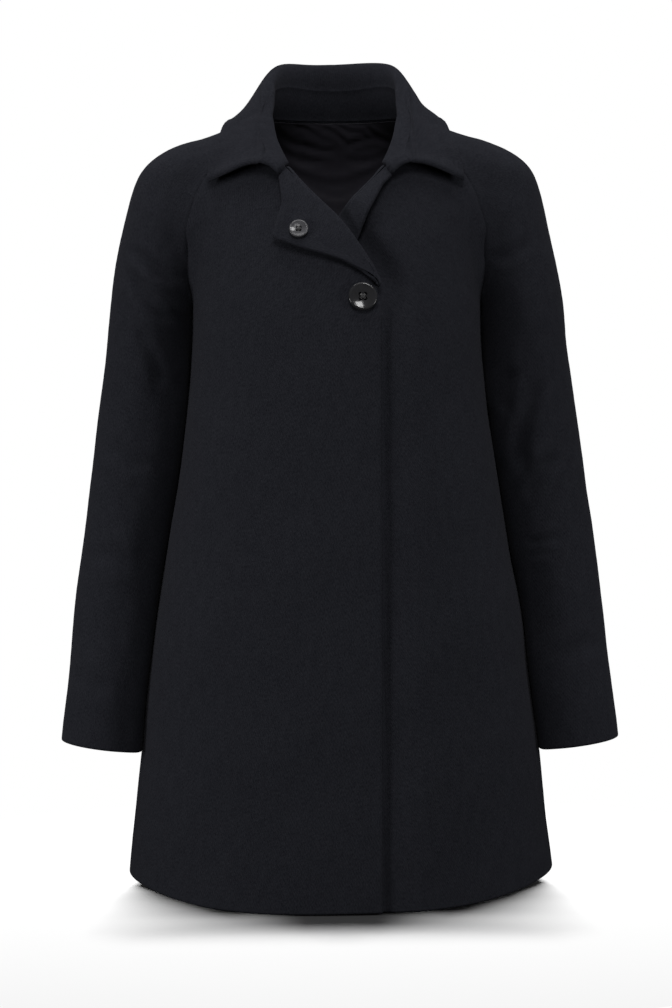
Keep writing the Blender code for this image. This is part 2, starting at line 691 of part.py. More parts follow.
def collar_grid(leaf):
    """The middle of the stand's or the leaf's wall from end to end round the neck, and normals."""
    lines, past = collar_sections()
    steps = np.linalg.norm(np.diff(lines, axis=0), axis=2)
    length = np.concatenate([np.zeros((1, steps.shape[1])), np.cumsum(steps, axis=0)])
    ways = np.gradient(lines, axis=0)
    seam = length[RIDGE_STEP] + past
    half_gap = LEAF_SEAM_GAP / 2
    low, high = (seam + half_gap, length[-1]) if leaf else (np.zeros(len(seam)), seam - half_gap)
    share = stages(LEAF_STEPS if leaf else STAND_STEPS)
    grid = np.empty((len(share), len(seam), 3))
    down = np.empty(grid.shape)
    for i in range(len(seam)):
        at = low[i] + (high[i] - low[i]) * share
        for axis in range(3):
            grid[:, i, axis] = np.interp(at, length[:, i], lines[:, i, axis])
            down[:, i, axis] = np.interp(at, length[:, i], ways[:, i, axis])
    grid = np.concatenate([mirrored(grid)[:, :0:-1], grid], axis=1)
    down = np.concatenate([mirrored(down)[:, :0:-1], down], axis=1)
    return grid, unit(np.cross(down, np.gradient(grid, axis=1)))


def grid_normals(grid):
    """Normals of a grid of points, from its rows and columns."""
    down = np.gradient(grid, axis=0)
    along = np.gradient(grid, axis=1)
    return unit(np.cross(down, along))


def lining_grid():
    """The lining inside the back and the top of the shoulders, drawn in from the side seams and the hem."""
    share = stages(LINING_STEPS)
    bottom = HEM_HEIGHT + LINING_HEM
    down = stages(LINING_ROWS)[:, None] ** LINING_PACE
    level = neck_height(90.0) + (bottom - neck_height(90.0)) * down
    first = smooth(LINING_SIDES, LINING_COLUMNS, "turn", level)
    turn = first + (180 - 2 * first) * share
    own_turn = np.where(turn > 90, 180 - turn, turn)
    top = neck_height(own_turn) - LINING_NECK
    height = top + (bottom - top) * down
    points, normals = on_body(own_turn, height)
    mirror = np.stack([np.where(turn > 90, -1.0, 1.0), np.ones(turn.shape), np.ones(turn.shape)], axis=-1)
    return points * mirror, normals * mirror


def set_material(obj, name, colour, roughness):
    material = bpy.data.materials.get(name) or bpy.data.materials.new(name)
    material.use_nodes = True
    shader = material.node_tree.nodes["Principled BSDF"]
    shader.inputs["Base Color"].default_value = (*colour, 1)
    shader.inputs["Roughness"].default_value = roughness
    shader.inputs["Metallic"].default_value = 0.0
    obj.data.materials.append(material)


def cloth_wall(name, outer, inner, material):
    """A closed wall between two grids of points that face each other."""
    rows, columns = outer.shape[:2]
    count = rows * columns
    index = np.arange(count).reshape(rows, columns)
    corners = [index[:-1, :-1], index[:-1, 1:], index[1:, 1:], index[1:, :-1]]
    faces = np.stack(corners, axis=-1).reshape(-1, 4)
    rim = np.concatenate([index[0, :-1], index[:-1, -1], index[-1, :0:-1], index[:0:-1, 0]])
    after = np.roll(rim, -1)
    sides = np.stack([rim, rim + count, after + count, after], axis=-1)
    mesh = bpy.data.meshes.new(name)
    every_point = np.concatenate([outer.reshape(-1, 3), inner.reshape(-1, 3)])
    every_face = np.concatenate([faces, faces[:, ::-1] + count, sides])
    mesh.from_pydata(every_point.tolist(), [], every_face.tolist())
    obj = bpy.data.objects.new(name, mesh)
    bpy.data.collections["overcoat"].objects.link(obj)
    face_outwards(mesh)
    mesh.shade_smooth()
    mesh.set_sharp_from_angle(angle=math.radians(40))
    set_material(obj, *material)
    return obj


def face_outwards(mesh):
    form = bmesh.new()
    form.from_mesh(mesh)
    bmesh.ops.triangulate(form, faces=form.faces)
    bmesh.ops.recalc_face_normals(form, faces=form.faces)
    form.to_mesh(mesh)
    form.free()


def mirrored(points):
    return points * np.array([-1.0, 1.0, 1.0])


WOOL_CLOTH = ("wool", WOOL, 0.95)
LINING_CLOTH = ("lining", SATIN, 0.45)
BUTTON_HORN = ("button", HORN, 0.25)


def make_panels():
    for name, tuck, side, turn_over in (
        ("front_right", False, -1, mirrored),
        ("front_left", True, 1, np.array),
    ):
        points, normals = front_grid(tuck, side)
        points = inset(points, top=True, first=True)
        cloth_wall(name, turn_over(points), turn_over(points - normals * WALL), WOOL_CLOTH)
    points, normals = back_grid()
    points = inset(points, top=True, first=True, last=True)
    cloth_wall("back", points, points - normals * WALL, WOOL_CLOTH)


def make_sleeves():
    for half, front in (("front", True), ("back", False)):
        points, normals = sleeve_grid(front)
        points = inset(points, top=True, first=True, last=True)
        inner = points - normals * WALL
        for side, turn_over in (("right", mirrored), ("left", np.array)):
            cloth_wall(f"sleeve_{side}_{half}", turn_over(points), turn_over(inner), WOOL_CLOTH)


def make_collar_and_lapels():
    for name, leaf, wall in (("collar_stand", False, WALL), ("collar_leaf", True, COLLAR_WALL)):
        grid, normals = collar_grid(leaf)
        half = normals * wall / 2
        cloth_wall(name, grid + half, grid - half, WOOL_CLOTH)
    for name, rows, end, tuck, turn_over in (
        ("lapel_right", LAPEL_RIGHT_ROWS, 1.0, False, mirrored),
        ("lapel_left", LAPEL_LEFT_ROWS, LAPEL_LEFT_END, True, np.array),
    ):
        grid = lapel_grid(rows, end, tuck)
        half = grid_normals(grid) * WALL / 2
        cloth_wall(name, turn_over(grid + half), turn_over(grid - half), WOOL_CLOTH)


def make_lining():
    points, normals = lining_grid()
    outer = points - normals * (WALL + LINING_GAP)
    cloth_wall("lining_back", outer, outer - normals * LINING_WALL, LINING_CLOTH)


def make_button(name, size, seat, normal):
    """A turned button with a raised rim and four holes, its back resting on the seat."""
    radius, thickness = size["diameter"] / 2, size["thickness"]
    profile = (
        (0.0, 0.0), (0.80, 0.0), (0.97, 0.30), (1.0, 0.62), (0.96, 0.90), (0.88, 1.0),
        (0.78, 0.93), (0.66, 0.70), (0.45, 0.62), (0.0, 0.60),
    )
    mesh = bpy.data.meshes.new(name)
    points = [(share * radius, 0.0, level * thickness) for share, level in profile]
    mesh.from_pydata(points, [(i, i + 1) for i in range(len(points) - 1)], [])
    obj = bpy.data.objects.new(name, mesh)
    bpy.data.collections["overcoat"].objects.link(obj)
    turned = obj.modifiers.new("turned", "SCREW")
    turned.steps = turned.render_steps = BUTTON_SIDES
    turned.use_merge_vertices = True
    turned.merge_threshold = 0.00001
    turned.use_normal_calculate = True
    frame = Vector(normal).to_track_quat("Z", "Y").to_matrix().to_4x4()
    frame.translation = Vector(seat)
    obj.matrix_world = frame
    for i in range(4):
        angle = math.pi / 4 + i * math.pi / 2
        reach = size["diameter"] * HOLE_SPACING_SHARE
        place = (reach * math.cos(angle), reach * math.sin(angle), 0.0)
        hole = make_cutter(f"{name}_hole_{i + 1}", size["diameter"] * HOLE_SHARE, thickness * 4)
        hole.matrix_world = frame @ Matrix.Translation(place)
        cut = obj.modifiers.new(f"hole_{i + 1}", "BOOLEAN")
        cut.operation = "DIFFERENCE"
        cut.solver = "EXACT"
        cut.object = hole
    set_material(obj, *BUTTON_HORN)


def make_cutter(name, radius, length):
    mesh = bpy.data.meshes.new(name)
    form = bmesh.new()
    bmesh.ops.create_cone(
        form, cap_ends=True, segments=HOLE_SIDES, radius1=radius, radius2=radius, depth=length
    )
    form.to_mesh(mesh)
    form.free()
    obj = bpy.data.objects.new(name, mesh)
    obj.display_type = "WIRE"
    obj.hide_render = True
    bpy.data.collections["cutters"].objects.link(obj)
    return obj


def make_buttons():
    across, height = LARGE_BUTTON["across"], LARGE_BUTTON["height"]
    seat, normal = at_front(-across, height)
    seat, normal = mirrored(seat), mirrored(normal)
    make_button("button_large", LARGE_BUTTON, seat + normal * SEAM_GAP, normal)
    seat, normal = lapel_seat(SMALL_BUTTON["across"], SMALL_BUTTON["height"])
    make_button("button_small", SMALL_BUTTON, seat + normal * SMALL_BUTTON_STALK, normal)


def lapel_seat(across, height):
    """The place on the right lapel's face at a spot seen from the front, and its normal."""
    grid = mirrored(lapel_grid(LAPEL_RIGHT_ROWS, 1.0, False))
    normals = grid_normals(grid)
    normals = normals * -np.sign(normals[..., 1:2])
    flat, flat_normals = grid[LAPEL_FOLD_STEPS:].reshape(-1, 3), normals[LAPEL_FOLD_STEPS:].reshape(-1, 3)
    reach = np.hypot(flat[:, 0] - across, flat[:, 2] - height)
    near = np.argsort(reach)[:4]
    weight = 1 / (reach[near] + 1e-6)
    normal = unit((flat_normals[near] * weight[:, None]).sum(0))
    middle = (flat[near] * weight[:, None]).sum(0) / weight.sum()
    seat = np.array([across, 0.0, height])
    seat[1] = middle[1] - ((across - middle[0]) * normal[0] + (height - middle[2]) * normal[2]) / normal[1]
    return seat + normal * WALL / 2, normal


def main():
    for obj in list(bpy.data.objects):
        bpy.data.objects.remove(obj)
    for name in ("overcoat", "cutters"):
        bpy.context.scene.collection.children.link(bpy.data.collections.new(name))
    make_panels()
    make_sleeves()
    make_collar_and_lapels()
    make_lining()
    make_buttons()


main()
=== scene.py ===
"""Dresses the overcoat's solids in brushed wool, satin and horn, and sets the coat in a pale studio.

Metres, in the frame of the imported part: +Z up, the front faces -Y and the wearer's left is +X. The first
tables and functions give the coat's form as its solids have it, apart from cuffs that are a little wider and
lie closer to the body. Every cloth piece is a fine shell on that form, with its seams, turned edges and
creases.
"""

import math

import bmesh
import bpy
import numpy as np
from bpy.props import FloatProperty, FloatVectorProperty, PointerProperty
from mathutils import Matrix, Vector


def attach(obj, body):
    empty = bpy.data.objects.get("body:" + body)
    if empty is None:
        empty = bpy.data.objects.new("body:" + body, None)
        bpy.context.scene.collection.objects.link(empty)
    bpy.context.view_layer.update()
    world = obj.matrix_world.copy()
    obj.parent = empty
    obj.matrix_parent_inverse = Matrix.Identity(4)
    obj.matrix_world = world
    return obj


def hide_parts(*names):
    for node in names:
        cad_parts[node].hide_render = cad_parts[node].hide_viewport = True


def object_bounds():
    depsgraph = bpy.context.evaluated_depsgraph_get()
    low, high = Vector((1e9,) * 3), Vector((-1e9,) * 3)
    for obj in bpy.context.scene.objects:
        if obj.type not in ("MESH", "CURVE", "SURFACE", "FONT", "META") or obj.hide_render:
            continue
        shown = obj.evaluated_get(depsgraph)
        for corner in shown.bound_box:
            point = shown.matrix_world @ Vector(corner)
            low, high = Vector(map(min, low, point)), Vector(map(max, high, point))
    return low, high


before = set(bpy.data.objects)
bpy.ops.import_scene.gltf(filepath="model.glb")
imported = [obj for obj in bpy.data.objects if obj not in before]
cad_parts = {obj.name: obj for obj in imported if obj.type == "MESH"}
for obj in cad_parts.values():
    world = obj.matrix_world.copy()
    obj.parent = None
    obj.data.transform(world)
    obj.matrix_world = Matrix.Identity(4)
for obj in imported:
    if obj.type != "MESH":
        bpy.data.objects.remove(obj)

CAD_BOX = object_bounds()

bl_info = {
    "name": "Overcoat",
    "version": (1, 0, 0),
    "blender": (4, 5, 0),
    "location": "View3D > Sidebar > Overcoat",
    "description": "Dresses a worn wool overcoat with raglan sleeves, piece by piece",
    "category": "Object",
}

# Cloth and seams of the solids
WALL = 0.0026
COLLAR_WALL = 0.0028
LINING_WALL = 0.0010
LINING_GAP = 0.0015
SEAM_GAP = 0.0003
NECK_SEAM_GAP = 0.0008

# The body, a row for each level
BODY_COLUMNS = ("height", "half_width", "front_depth", "back_depth", "squareness")
BODY_ROWS = (
    (0.040, 0.070, 0.046, 0.066, 2.00),
    (0.005, 0.078, 0.046, 0.074, 2.00),
    (-0.004, 0.106, 0.049, 0.081, 2.00),
    (-0.014, 0.124, 0.056, 0.088, 2.00),
    (-0.030, 0.141, 0.068, 0.097, 2.05),
    (-0.045, 0.149, 0.0785, 0.103, 2.10),
    (-0.085, 0.156, 0.101, 0.114, 2.20),
    (-0.140, 0.152, 0.122, 0.121, 2.25),
    (-0.215, 0.149, 0.139, 0.124, 2.30),
    (-0.340, 0.161, 0.147, 0.126, 2.30),
    (-0.530, 0.1920, 0.156, 0.138, 2.25),
    (-0.800, 0.2230, 0.167, 0.157, 2.20),
)

# A sleeve, a row for each level from the shoulder down past the cuff; a leaning dome closes it above
SLEEVE_COLUMNS = ("height", "centre", "set_back", "half_width", "half_depth")
SLEEVE_ROWS = (
    (-0.065, 0.1640, 0.008, 0.0465, 0.052),
    (-0.100, 0.1720, 0.009, 0.0475, 0.058),
    (-0.145, 0.1810, 0.010, 0.0475, 0.060),
    (-0.215, 0.1940, 0.012, 0.0445, 0.060),
    (-0.290, 0.1985, 0.015, 0.0490, 0.058),
    (-0.390, 0.2110, 0.015, 0.0505, 0.056),
    (-0.495, 0.2265, 0.008, 0.0480, 0.053),
    (-0.600, 0.2368, -0.006, 0.0482, 0.050),
    (-0.680, 0.2446, -0.016, 0.0484, 0.048),
)
UNDERARM_HEIGHT = -0.215
CUFF_HEIGHT = -0.643
CUFF_SLOPE = math.radians(7)
SHOULDER_HEIGHT = -0.065
SHOULDER_RISE = 0.0435
SHOULDER_LEAN = 0.33
SLEEVE_SIZE = 0.045
SHOULDER_MELT = 0.030
MELT_FADE = 0.110
NORMAL_RUN = 0.030
SLEEVE_CLEARANCE = 0.0008
SLEEVE_CORNER = 0.006
PRESS_START = 0.004
PRESS_RUN = 0.020

# How far outside the ovals the melted form is looked for: a little by the arm, more over the shoulder
ARM_REACH = 0.006
SHOULDER_REACH = 0.10
SHOULDER_REACH_START = -0.13
REACH_RUN = 0.05
FRONT_REACH = 0.30
SLEEVE_REACH = 0.16
SEARCH_STEPS = 18

# The hem, level round the back, dipping at the front, and a little higher at the wearer's left
HEM_HEIGHT = -0.774
HEM_DIP = 0.020
HEM_LEFT_RISE = 0.003

# Soft flutes of the swinging hem, a row for each: direction round the body, spread, depth and top
FLUTE_ROWS = (
    (-62.0, 15.0, 0.0022, -0.42),
    (-30.0, 12.0, -0.0030, -0.34),
    (28.0, 12.0, -0.0045, -0.30),
    (55.0, 11.0, 0.0060, -0.34),
    (78.0, 11.0, -0.0040, -0.40),
)
FLUTE_GROWTH = 1.4

# The neck seam, a row for each direction round the neck
NECK_COLUMNS = ("turn", "height")
NECK_ROWS = (
    (-58.7, -0.0534),
    (-45.0, -0.0290),
    (-27.0, -0.0040),
    (0.0, 0.0040),
    (40.0, 0.0090),
    (90.0, 0.0100),
)

# The raglan seams, rows from the neck to the underarm: how far each lies from the fold under the arm
RAGLAN_COLUMNS = ("height", "ahead")
RAGLAN_FRONT_ROWS = (
    (-0.004, 13.0),
    (-0.040, 7.5),
    (-0.080, 5.0),
    (-0.120, 3.4),
    (-0.160, 2.8),
    (-0.192, 2.2),
    (-0.215, 0.0),
)
RAGLAN_BACK_ROWS = (
    (0.0093, 30.0),
    (-0.040, 16.0),
    (-0.080, 11.0),
    (-0.120, 8.0),
    (-0.160, 6.0),
    (-0.192, 4.0),
    (-0.215, 0.0),
)
RAGLAN_PACE = 1.15
NECK_FRONT_TURN = -27.0
NECK_BACK_TURN = 52.0
NECK_EASE_SHARE = 1 / 3
FOLD_TOP = -0.075
FOLD_SEARCH_TURN = 60.0

# The middle of the sleeve where it crosses the shoulder, a row for each stage from neck to underarm
SHOULDER_COLUMNS = ("stage", "across", "set_back", "height", "lean")
SHOULDER_ROWS = (
    (0.00, 0.080, 0.008, -0.050, 88.0),
    (0.25, 0.108, 0.008, -0.066, 72.0),
    (0.50, 0.142, 0.008, -0.092, 52.0),
    (0.75, 0.172, 0.010, -0.140, 26.0),
    (1.00, 0.1945, 0.012, -0.210, 7.0),
)
OVERARM_FORWARD = math.radians(7)
OVERARM_NECK_TURN = -4.0
LEAST_SEAM_ANGLE = -0.5
SEAM_SPREAD = 0.003
YOKE_SPREAD = 0.25
YOKE_SPREAD_PACE = 1.5

# The front closing, seen from the front: each front reaches past the middle, and its neck corner turns back
EDGE_REACH_TOP = 0.044
EDGE_REACH_HEM = 0.0405
ROLL_COLUMNS = ("height", "across")
ROLL_ROWS = (
    (-0.0534, -0.0505),
    (-0.0780, -0.0270),
    (-0.1065, -0.0005),
    (-0.1370, 0.0227),
    (-0.1653, 0.0402),
    (-0.1765, 0.0438),
)
ROLL_RADIUS = 0.0032
ROLL_CLOSING = 0.35
ROLL_CLOSING_START = 0.8
ROLL_SEAM_GAP = 0.0006
NECK_TURNS = (-33.0, -42.0, -51.0, -56.0)
NECK_EDGE_STEPS = 4

# The under front lies inside the form by these depths, deepest behind the turned-back neck, and dips in a
# groove beside the upper front's edge
UNDER_TUCK = 0.0042
NECK_TUCK = 0.0118
NECK_TUCK_HEIGHT = -0.225
NECK_TUCK_RUN = 0.075
TUCK_MARGIN = 0.004
TUCK_RUN = 0.034
GROOVE_DEPTH = 0.0040
GROOVE_WIDTH = 0.0042
GROOVE_AHEAD = 0.0032
GROOVE_RUN = 0.040

# The turned-back corners, a row for each stage down the roll line: edge seen from the front, and its lift
LAPEL_RIGHT_ROWS = (
    (0.00, -0.0555, -0.0690, 0.008),
    (0.25, -0.0520, -0.0945, 0.009),
    (0.50, -0.0612, -0.1305, 0.011),
    (0.66, -0.0325, -0.1410, 0.009),
    (0.82, 0.0045, -0.1520, 0.007),
    (1.00, 0.0370, -0.1690, 0.005),
)
LAPEL_LEFT_ROWS = (
    (0.00, -0.0550, -0.0680, 0.006),
    (0.20, -0.0460, -0.0780, 0.010),
    (0.40, -0.0380, -0.0935, 0.012),
    (0.60, -0.0305, -0.1080, 0.012),
    (0.80, -0.0245, -0.1220, 0.009),
    (1.00, -0.0170, -0.1370, 0.0042),
)
LAPEL_LEFT_END = 0.62
LAPEL_START = 0.0030

# The collar, a row for each stage from the middle of the back to its front end: the neck seam, the ridge
# where it folds, its leaf's edge, how far past the ridge the leaf's seam lies, its roll's pull and tilt, and
# how far the leaf bows out
COLLAR_COLUMNS = (
    "stage", "turn", "drop", "lift",
    "ridge_x", "ridge_y", "ridge_z",
    "edge_x", "edge_y", "edge_z",
    "seam", "pull", "tilt", "bow",
)
COLLAR_ROWS = (
    (0.00, 90.0, 0.0, 0.0, 0.0, 0.0790, 0.0700, 0.0, 0.1080, -0.0040, -0.0330, 0.0100, 0.00, 0.0065),
    (0.18, 66.0, 0.0, 0.0, 0.0350, 0.0720, 0.0700, 0.0490, 0.1000, -0.0020, -0.0320, 0.0100, 0.00, 0.0065),
    (0.36, 40.0, 0.0, 0.0, 0.0605, 0.0470, 0.0640, 0.0860, 0.0660, 0.0020, -0.0250, 0.0100, 0.00, 0.0060),
    (0.53, 8.0, 0.0, 0.0, 0.0680, 0.0090, 0.0410, 0.1040, 0.0200, 0.0, -0.0100, 0.0105, 0.00, 0.0040),
    (0.68, -20.0, 0.0, 0.0, 0.0670, -0.0210, 0.0140, 0.1165, -0.0240, -0.0120, 0.0060, 0.0105, 0.05, 0.0015),
    (0.81, -42.0, 0.0, 0.0, 0.0630, -0.0530, -0.0160, 0.1240, -0.0520, -0.0330, 0.0135, 0.0160, 0.35, 0.0040),
    (0.92, -58.0, 0.0, 0.004, 0.0535, -0.0875, -0.049, 0.1285, -0.060, -0.051, 0.0190, 0.0255, 0.85, 0.0095),
    (1.00, -56.0, -0.0115, 0.009, 0.059, -0.096, -0.061, 0.1295, -0.068, -0.067, 0.0215, 0.031, 1.15, 0.014),
)
LEAF_LIFT = 0.0032
LEAF_BOW_SHARE = 0.35
LEAF_CLEAR_SHARE = 1 / 5
STAND_PULL_SHARE = 0.4

# Buttons, four holes each
LARGE_BUTTON = {"across": 0.0256, "height": -0.1875, "diameter": 0.0285, "thickness": 0.0042}
SMALL_BUTTON = {"across": -0.0367, "height": -0.1206, "diameter": 0.0190, "thickness": 0.0034}
SMALL_BUTTON_STALK = 0.0011
LARGE_BUTTON_STALK = 0.0012
SEAT_POINTS = 4

# A button's section from the middle of its back, out over the rim and into its dished face, in shares of
# radius and thickness
BUTTON_PROFILE = (
    (0.0, 0.0), (0.74, 0.0), (0.86, 0.05), (0.95, 0.20), (0.99, 0.42), (1.0, 0.60), (0.985, 0.78),
    (0.95, 0.92), (0.90, 0.99), (0.86, 1.0), (0.82, 0.98), (0.78, 0.93), (0.70, 0.866), (0.60, 0.795),
    (0.50, 0.736), (0.40, 0.687), (0.30, 0.649), (0.20, 0.622), (0.10, 0.605), (0.0, 0.60),
)
BUTTON_FLOOR_SHARE = 0.60
BUTTON_SIDES = 96
BUTTON_SHARP_TURN = math.radians(38)
MERGE_REACH = 1e-6

# The holes, as shares of a button's diameter, and where they flare, as shares of its floor's level
HOLE_COUNT = 4
HOLE_SHARE = 0.055
HOLE_MOUTH_SHARE = 0.078
HOLE_SPACING_SHARE = 0.115
HOLE_FLARE_START = 0.72
HOLE_FLARE_END = 1.02
HOLE_SIDES = 28

# The thread: two crossed layers of strands that rise between the holes; spacings are in strand radii
THREAD_RADIUS = 0.00032
THREAD_RISE_SHARE = 0.16
THREAD_STRANDS = 4
THREAD_LAYERS = 2
THREAD_POINTS = 13
THREAD_SIDES = 8
THREAD_DIP_POWER = 4.0
THREAD_TURN = math.radians(45)
STRAND_SPACING = 1.8
LAYER_SPACING = 1.6

# The lining inside the back: where its sides lie at each level, and how far it stops short of neck and hem
LINING_COLUMNS = ("height", "turn")
LINING_SIDES = (
    (0.010, 14.0),
    (-0.020, 24.0),
    (-0.060, 34.0),
    (-0.120, 32.0),
    (-0.200, 20.0),
    (-0.260, 6.0),
    (-0.780, 5.0),
)
LINING_HEM = 0.025
LINING_NECK = 0.0015
LINING_PACE = 1.2
LINING_TUCK = 0.0013
LINING_TUCK_RUN = 0.006
LINING_CREASE_RISE = 0.0008

# Guide steps of the panels, which are drawn out to the fine grids, and steps of what is made fine at once
YOKE_STEPS = 16
FRONT_STEPS = 18
BACK_STEPS = 26
SKIRT_STEPS = 13
SLEEVE_STEPS = 11
ARM_STEPS = 15
COLLAR_STEPS = 176
RIDGE_STEP = 40
EDGE_STEP = 60
LAPEL_STEPS = 72
LAPEL_FOLD_STEPS = 10
LAPEL_FLAT_STEPS = 26
LAPEL_CORNER_STEPS = 3
ROLL_MEASURE_STEPS = 201
LINING_STEPS = 26
LINING_ROWS = 24

# Distances from a cloth edge at which its shell has a line of points, so that the edge is round
EDGE_LINES = (0.0, 0.0003, 0.0008, 0.0015, 0.0024, 0.0036, 0.0052, 0.0072)

# How the sides of the back and of the sleeves end
SEWN_EDGES = {"top": "seam", "first": "seam", "last": "seam", "bottom": "turned"}

# Turned edges: where their extra thickness starts to fade, in edge runs, and how round they are
EDGE_FADE_START = 1.4
EDGE_ROUNDNESS = 0.96
EDGE_SWELL_OUT = 0.5
LEAF_LINE = 0.0062

# Seams pressed open: lengths in which they pucker, by what share dip and swell vary with that, and where the
# swell over the turnings lies and how wide it is, in seam widths
PUCKER_LENGTHS = (0.0083, 0.0137, 0.0229)
DIP_PUCKER = 0.35
SWELL_PUCKER = 0.6
SWELL_AT = 3.2
SWELL_SPREAD = 2.0

# The share of a piece's waves and creases that its inner face follows
INNER_FOLLOW = 0.85

# Broad uneven waves that keep the cloth from lying dead flat: direction, length, height and start of each
WAVE_ROWS = (
    (0.90, 0.30, 0.35, 0.090, 0.00035, 0.4),
    (-0.50, 0.20, 0.85, 0.130, 0.00050, 1.9),
    (0.75, -0.55, -0.40, 0.062, 0.00022, 3.1),
    (0.25, 0.80, -0.55, 0.047, 0.00015, 5.0),
    (-0.85, 0.10, 0.50, 0.033, 0.00008, 2.2),
)

# Creases, a row for each, in the coat's own metres: across and height of the start and of the end, bow, width
# and depth
FRONT_CREASES = (
    (-0.2060, -0.1330, -0.1640, -0.1640, 0.003, 0.0060, 0.0022),
    (-0.2080, -0.1590, -0.1720, -0.2040, 0.004, 0.0070, 0.0026),
    (-0.2010, -0.2190, -0.1800, -0.2700, -0.003, 0.0080, 0.0024),
    (-0.2300, -0.3320, -0.2010, -0.3560, 0.003, 0.0085, 0.0014),
    (-0.2480, -0.4420, -0.2160, -0.4560, -0.002, 0.0100, 0.0012),
    (-0.2700, -0.5650, -0.2360, -0.5800, 0.002, 0.0090, 0.0008),
    (0.1610, -0.1450, 0.1960, -0.1290, 0.003, 0.0070, 0.0012),
    (0.2050, -0.2750, 0.1870, -0.3560, 0.006, 0.0085, 0.0034),
    (0.1790, -0.2600, 0.1730, -0.3000, 0.003, 0.0070, 0.0018),
    (0.2200, -0.3480, 0.1950, -0.3860, 0.002, 0.0080, 0.0018),
    (0.1960, -0.4350, 0.2250, -0.4280, 0.002, 0.0050, 0.0012),
    (0.1980, -0.4480, 0.2160, -0.4440, -0.001, 0.0045, 0.0010),
    (0.2620, -0.5350, 0.2330, -0.5560, 0.002, 0.0100, 0.0010),
    (-0.1250, -0.1000, -0.1350, -0.1850, 0.004, 0.0120, 0.0009),
    (0.1180, -0.1050, 0.1330, -0.1800, -0.004, 0.0120, 0.0009),
    (0.0520, -0.2200, 0.0580, -0.4300, 0.004, 0.0150, 0.0006),
    (-0.1060, -0.5200, -0.1280, -0.7500, 0.004, 0.0200, 0.0010),
    (0.1180, -0.5600, 0.1420, -0.7650, -0.004, 0.0200, 0.0012),
)
BACK_CREASES = (
    (-0.2020, -0.1450, -0.1650, -0.1800, 0.003, 0.0070, 0.0022),
    (-0.2050, -0.2500, -0.1780, -0.2850, 0.004, 0.0080, 0.0026),
    (-0.2280, -0.3350, -0.1950, -0.3700, -0.003, 0.0085, 0.0030),
    (-0.2350, -0.3900, -0.2050, -0.4080, 0.002, 0.0080, 0.0018),
    (-0.2620, -0.5450, -0.2300, -0.5600, 0.002, 0.0100, 0.0010),
    (0.2000, -0.1500, 0.1660, -0.1760, 0.003, 0.0070, 0.0020),
    (0.2080, -0.2380, 0.1800, -0.2790, -0.004, 0.0080, 0.0024),
    (0.2250, -0.3290, 0.1950, -0.3600, 0.003, 0.0085, 0.0032),
    (0.2380, -0.3960, 0.2060, -0.4170, -0.002, 0.0080, 0.0016),
    (0.2660, -0.5550, 0.2360, -0.5750, 0.002, 0.0100, 0.0010),
    (-0.0900, -0.0450, -0.1180, -0.1500, 0.004, 0.0110, 0.0011),
    (0.0880, -0.0500, 0.1200, -0.1450, -0.004, 0.0110, 0.0010),
    (-0.0300, -0.0450, 0.0350, -0.0480, 0.004, 0.0100, 0.0010),
    (-0.0650, -0.3000, -0.0950, -0.7400, 0.006, 0.0220, 0.0016),
    (0.0700, -0.3300, 0.0980, -0.7500, -0.006, 0.0220, 0.0014),
    (0.0050, -0.4200, 0.0000, -0.7600, 0.003, 0.0200, 0.0010),
)
LEAF_CREASES = (
    (-0.0960, 0.0000, -0.0950, -0.0340, 0.002, 0.0060, -0.0011),
    (0.0850, 0.0220, 0.1080, -0.0300, 0.002, 0.0050, -0.0012),
    (0.0980, 0.0060, 0.1180, -0.0420, 0.001, 0.0040, 0.0007),
    (-0.0820, 0.0250, -0.1080, -0.0100, -0.002, 0.0060, 0.0008),
)
LINING_CREASES = (
    (-0.0600, -0.0030, -0.0250, -0.0150, 0.003, 0.0028, 0.0026),
    (-0.0420, 0.0030, -0.0180, -0.0050, -0.002, 0.0022, 0.0020),
    (-0.0350, -0.0120, -0.0020, -0.0190, 0.003, 0.0030, 0.0028),
    (-0.0130, 0.0020, 0.0120, -0.0130, -0.003, 0.0026, 0.0022),
    (0.0050, 0.0030, 0.0330, -0.0020, 0.002, 0.0024, 0.0018),
    (0.0120, -0.0160, 0.0450, -0.0080, -0.003, 0.0030, 0.0026),
    (0.0350, 0.0010, 0.0600, -0.0120, 0.002, 0.0026, 0.0022),
    (-0.0550, -0.0220, -0.0150, -0.0300, 0.004, 0.0036, 0.0022),
    (0.0150, -0.0300, 0.0560, -0.0230, 0.004, 0.0036, 0.0022),
    (-0.0480, -0.0400, 0.0460, -0.0390, 0.016, 0.0050, 0.0034),
    (-0.0380, -0.0480, 0.0400, -0.0470, 0.018, 0.0040, 0.0022),
    (-0.0700, -0.0600, -0.0200, -0.1100, 0.006, 0.0090, 0.0030),
    (0.0680, -0.0580, 0.0240, -0.1150, -0.006, 0.0090, 0.0030),
    (-0.0900, -0.2000, -0.0700, -0.6500, 0.010, 0.0160, 0.0030),
    (0.0850, -0.2200, 0.0720, -0.6700, -0.010, 0.0160, 0.0030),
    (-0.0350, -0.3000, -0.0420, -0.7200, 0.006, 0.0140, 0.0026),
    (0.0400, -0.2600, 0.0330, -0.7200, -0.006, 0.0140, 0.0026),
)

# The ridges along a crease: their share of its depth, and where they lie in crease widths; how its ends fade
CREASE_RIDGE = 0.42
CREASE_RIDGE_AT = 1.7
CREASE_FADE = 0.30

# Sleeve creases are deeper and stop short of the overarm seam
SLEEVE_CREASE_SHARE = 1.5
SLEEVE_CREASE_RUN = 0.018

# How far inwards a sleeve's cloth has to face before its waves follow those of the body beside it
INNER_FACING = 0.5

